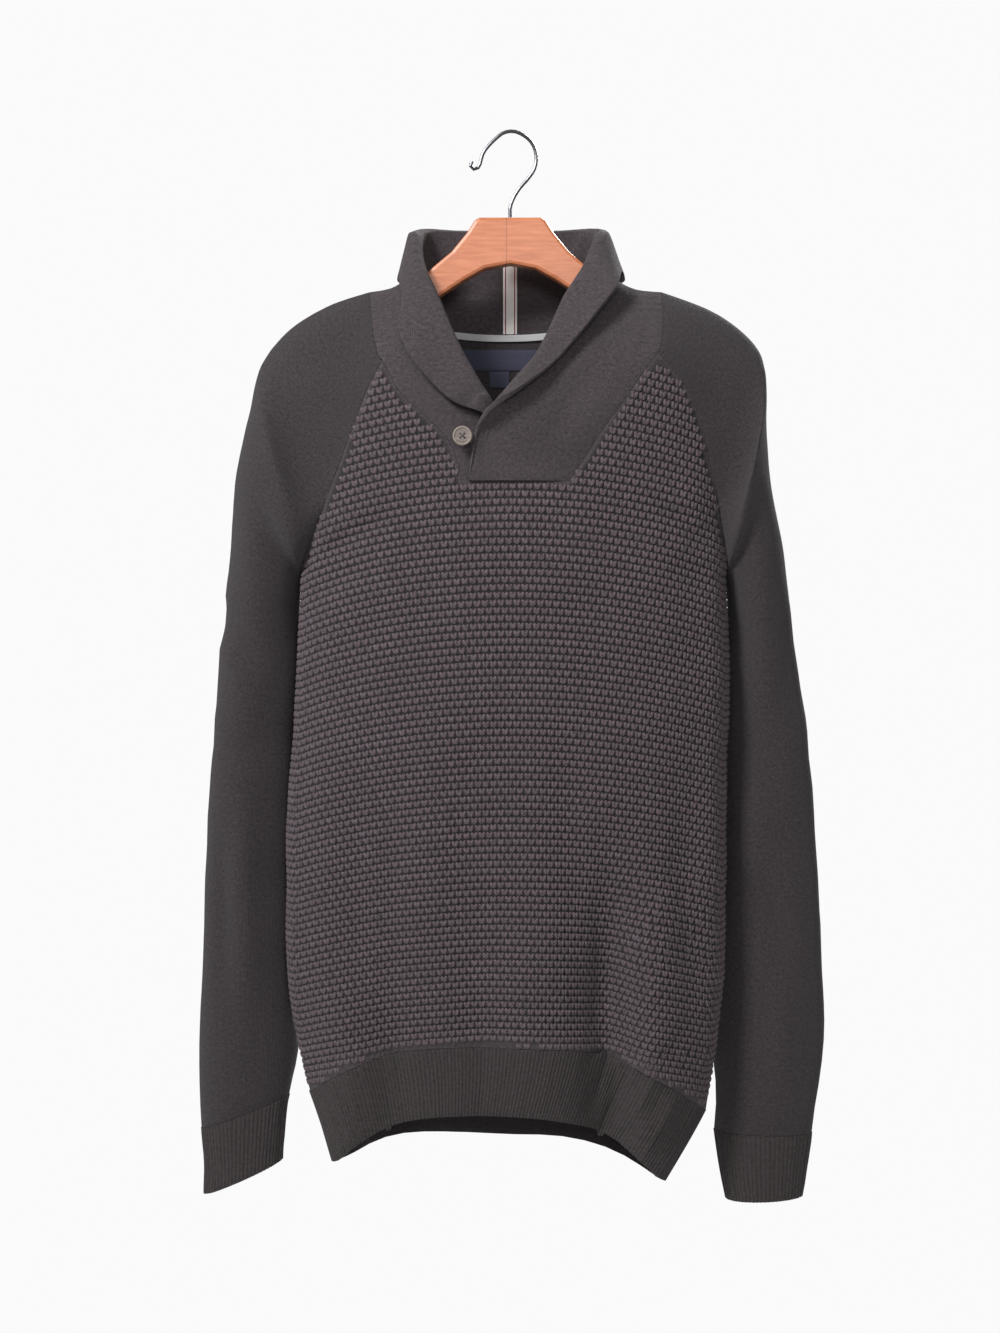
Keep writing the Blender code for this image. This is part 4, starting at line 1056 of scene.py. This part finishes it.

# %% [markdown]

# %% [markdown]
# ## Room, light and camera
# A pale round floor lies well below the hem. The main light is soft and close, high on the
# camera's left, so that the cloth darkens downwards. A weak one near the camera opens the neck,
# and one behind shows the back. The world is white to look at and gives a low, even light.

# %% Floor
FLOOR_LEVEL = -1.9
FLOOR_RADIUS = 1.5
shape = bmesh.new()
bmesh.ops.create_circle(shape, cap_ends=True, segments=96, radius=FLOOR_RADIUS)
bmesh.ops.translate(shape, verts=shape.verts, vec=(0, 0, FLOOR_LEVEL))
mesh = bpy.data.meshes.new("floor")
shape.to_mesh(mesh)
shape.free()
floor = new_piece("floor", mesh)
paper = Finish("floor_paper", Roughness=0.9)
mottle = paper.cloud(paper.place(), 3.0)
pale = paper.ramp(mottle, (0.3, (0.86, 0.86, 0.86, 1)), (0.7, (0.9, 0.9, 0.9, 1)))
mesh.materials.append(paper.shade(pale))


# %% Lights
def area_light(name, place, aim, size, power, colour=(1, 1, 1)):
    """A square soft light that looks at a point."""
    data = bpy.data.lights.new(name, "AREA")
    data.shape = "SQUARE"
    data.size = size
    data.energy = power
    data.color = colour
    lamp = bpy.data.objects.new(name, data)
    bpy.context.scene.collection.objects.link(lamp)
    lamp.location = place
    lamp.rotation_euler = (Vector(aim) - Vector(place)).to_track_quat("-Z", "Y").to_euler()
    return lamp


area_light("key", (-1.15, -1.45, 0.95), (0, 0, -0.4), 0.55, 52)
area_light("fill", (0.2, -2.3, 0.1), (0, 0, -0.3), 0.5, 14)
area_light("rear", (0.9, 1.7, 0.9), (0, 0, -0.45), 0.9, 58)

WORLD_LIGHT = 0.32
WORLD_SEEN = 0.96
world = bpy.data.worlds.new("studio")
world.use_nodes = True
sky = world.node_tree.nodes["Background"]
sky.inputs["Color"].default_value = (1, 1, 1, 1)
seen = world.node_tree.nodes.new("ShaderNodeLightPath").outputs["Is Camera Ray"]
strength = world.node_tree.nodes.new("ShaderNodeMapRange")
world.node_tree.links.new(seen, strength.inputs["Value"])
strength.inputs["To Min"].default_value = WORLD_LIGHT
strength.inputs["To Max"].default_value = WORLD_SEEN
world.node_tree.links.new(strength.outputs[0], sky.inputs["Strength"])
bpy.context.scene.world = world
bpy.context.scene.view_settings.view_transform = "Standard"

# %% Camera
CAMERA_PLACE = (-0.009, -1.8, -0.464)
CAMERA_DISTANCE = 1.8
VIEW_HEIGHT = 1.15971
SENSOR = 36
lens = bpy.data.cameras.new("camera")
lens.sensor_width = SENSOR
lens.lens = SENSOR * CAMERA_DISTANCE / VIEW_HEIGHT
camera = bpy.data.objects.new("camera", lens)
camera.location = CAMERA_PLACE
camera.rotation_euler = (math.pi / 2, 0, 0)
bpy.context.scene.collection.objects.link(camera)
bpy.context.scene.camera = camera
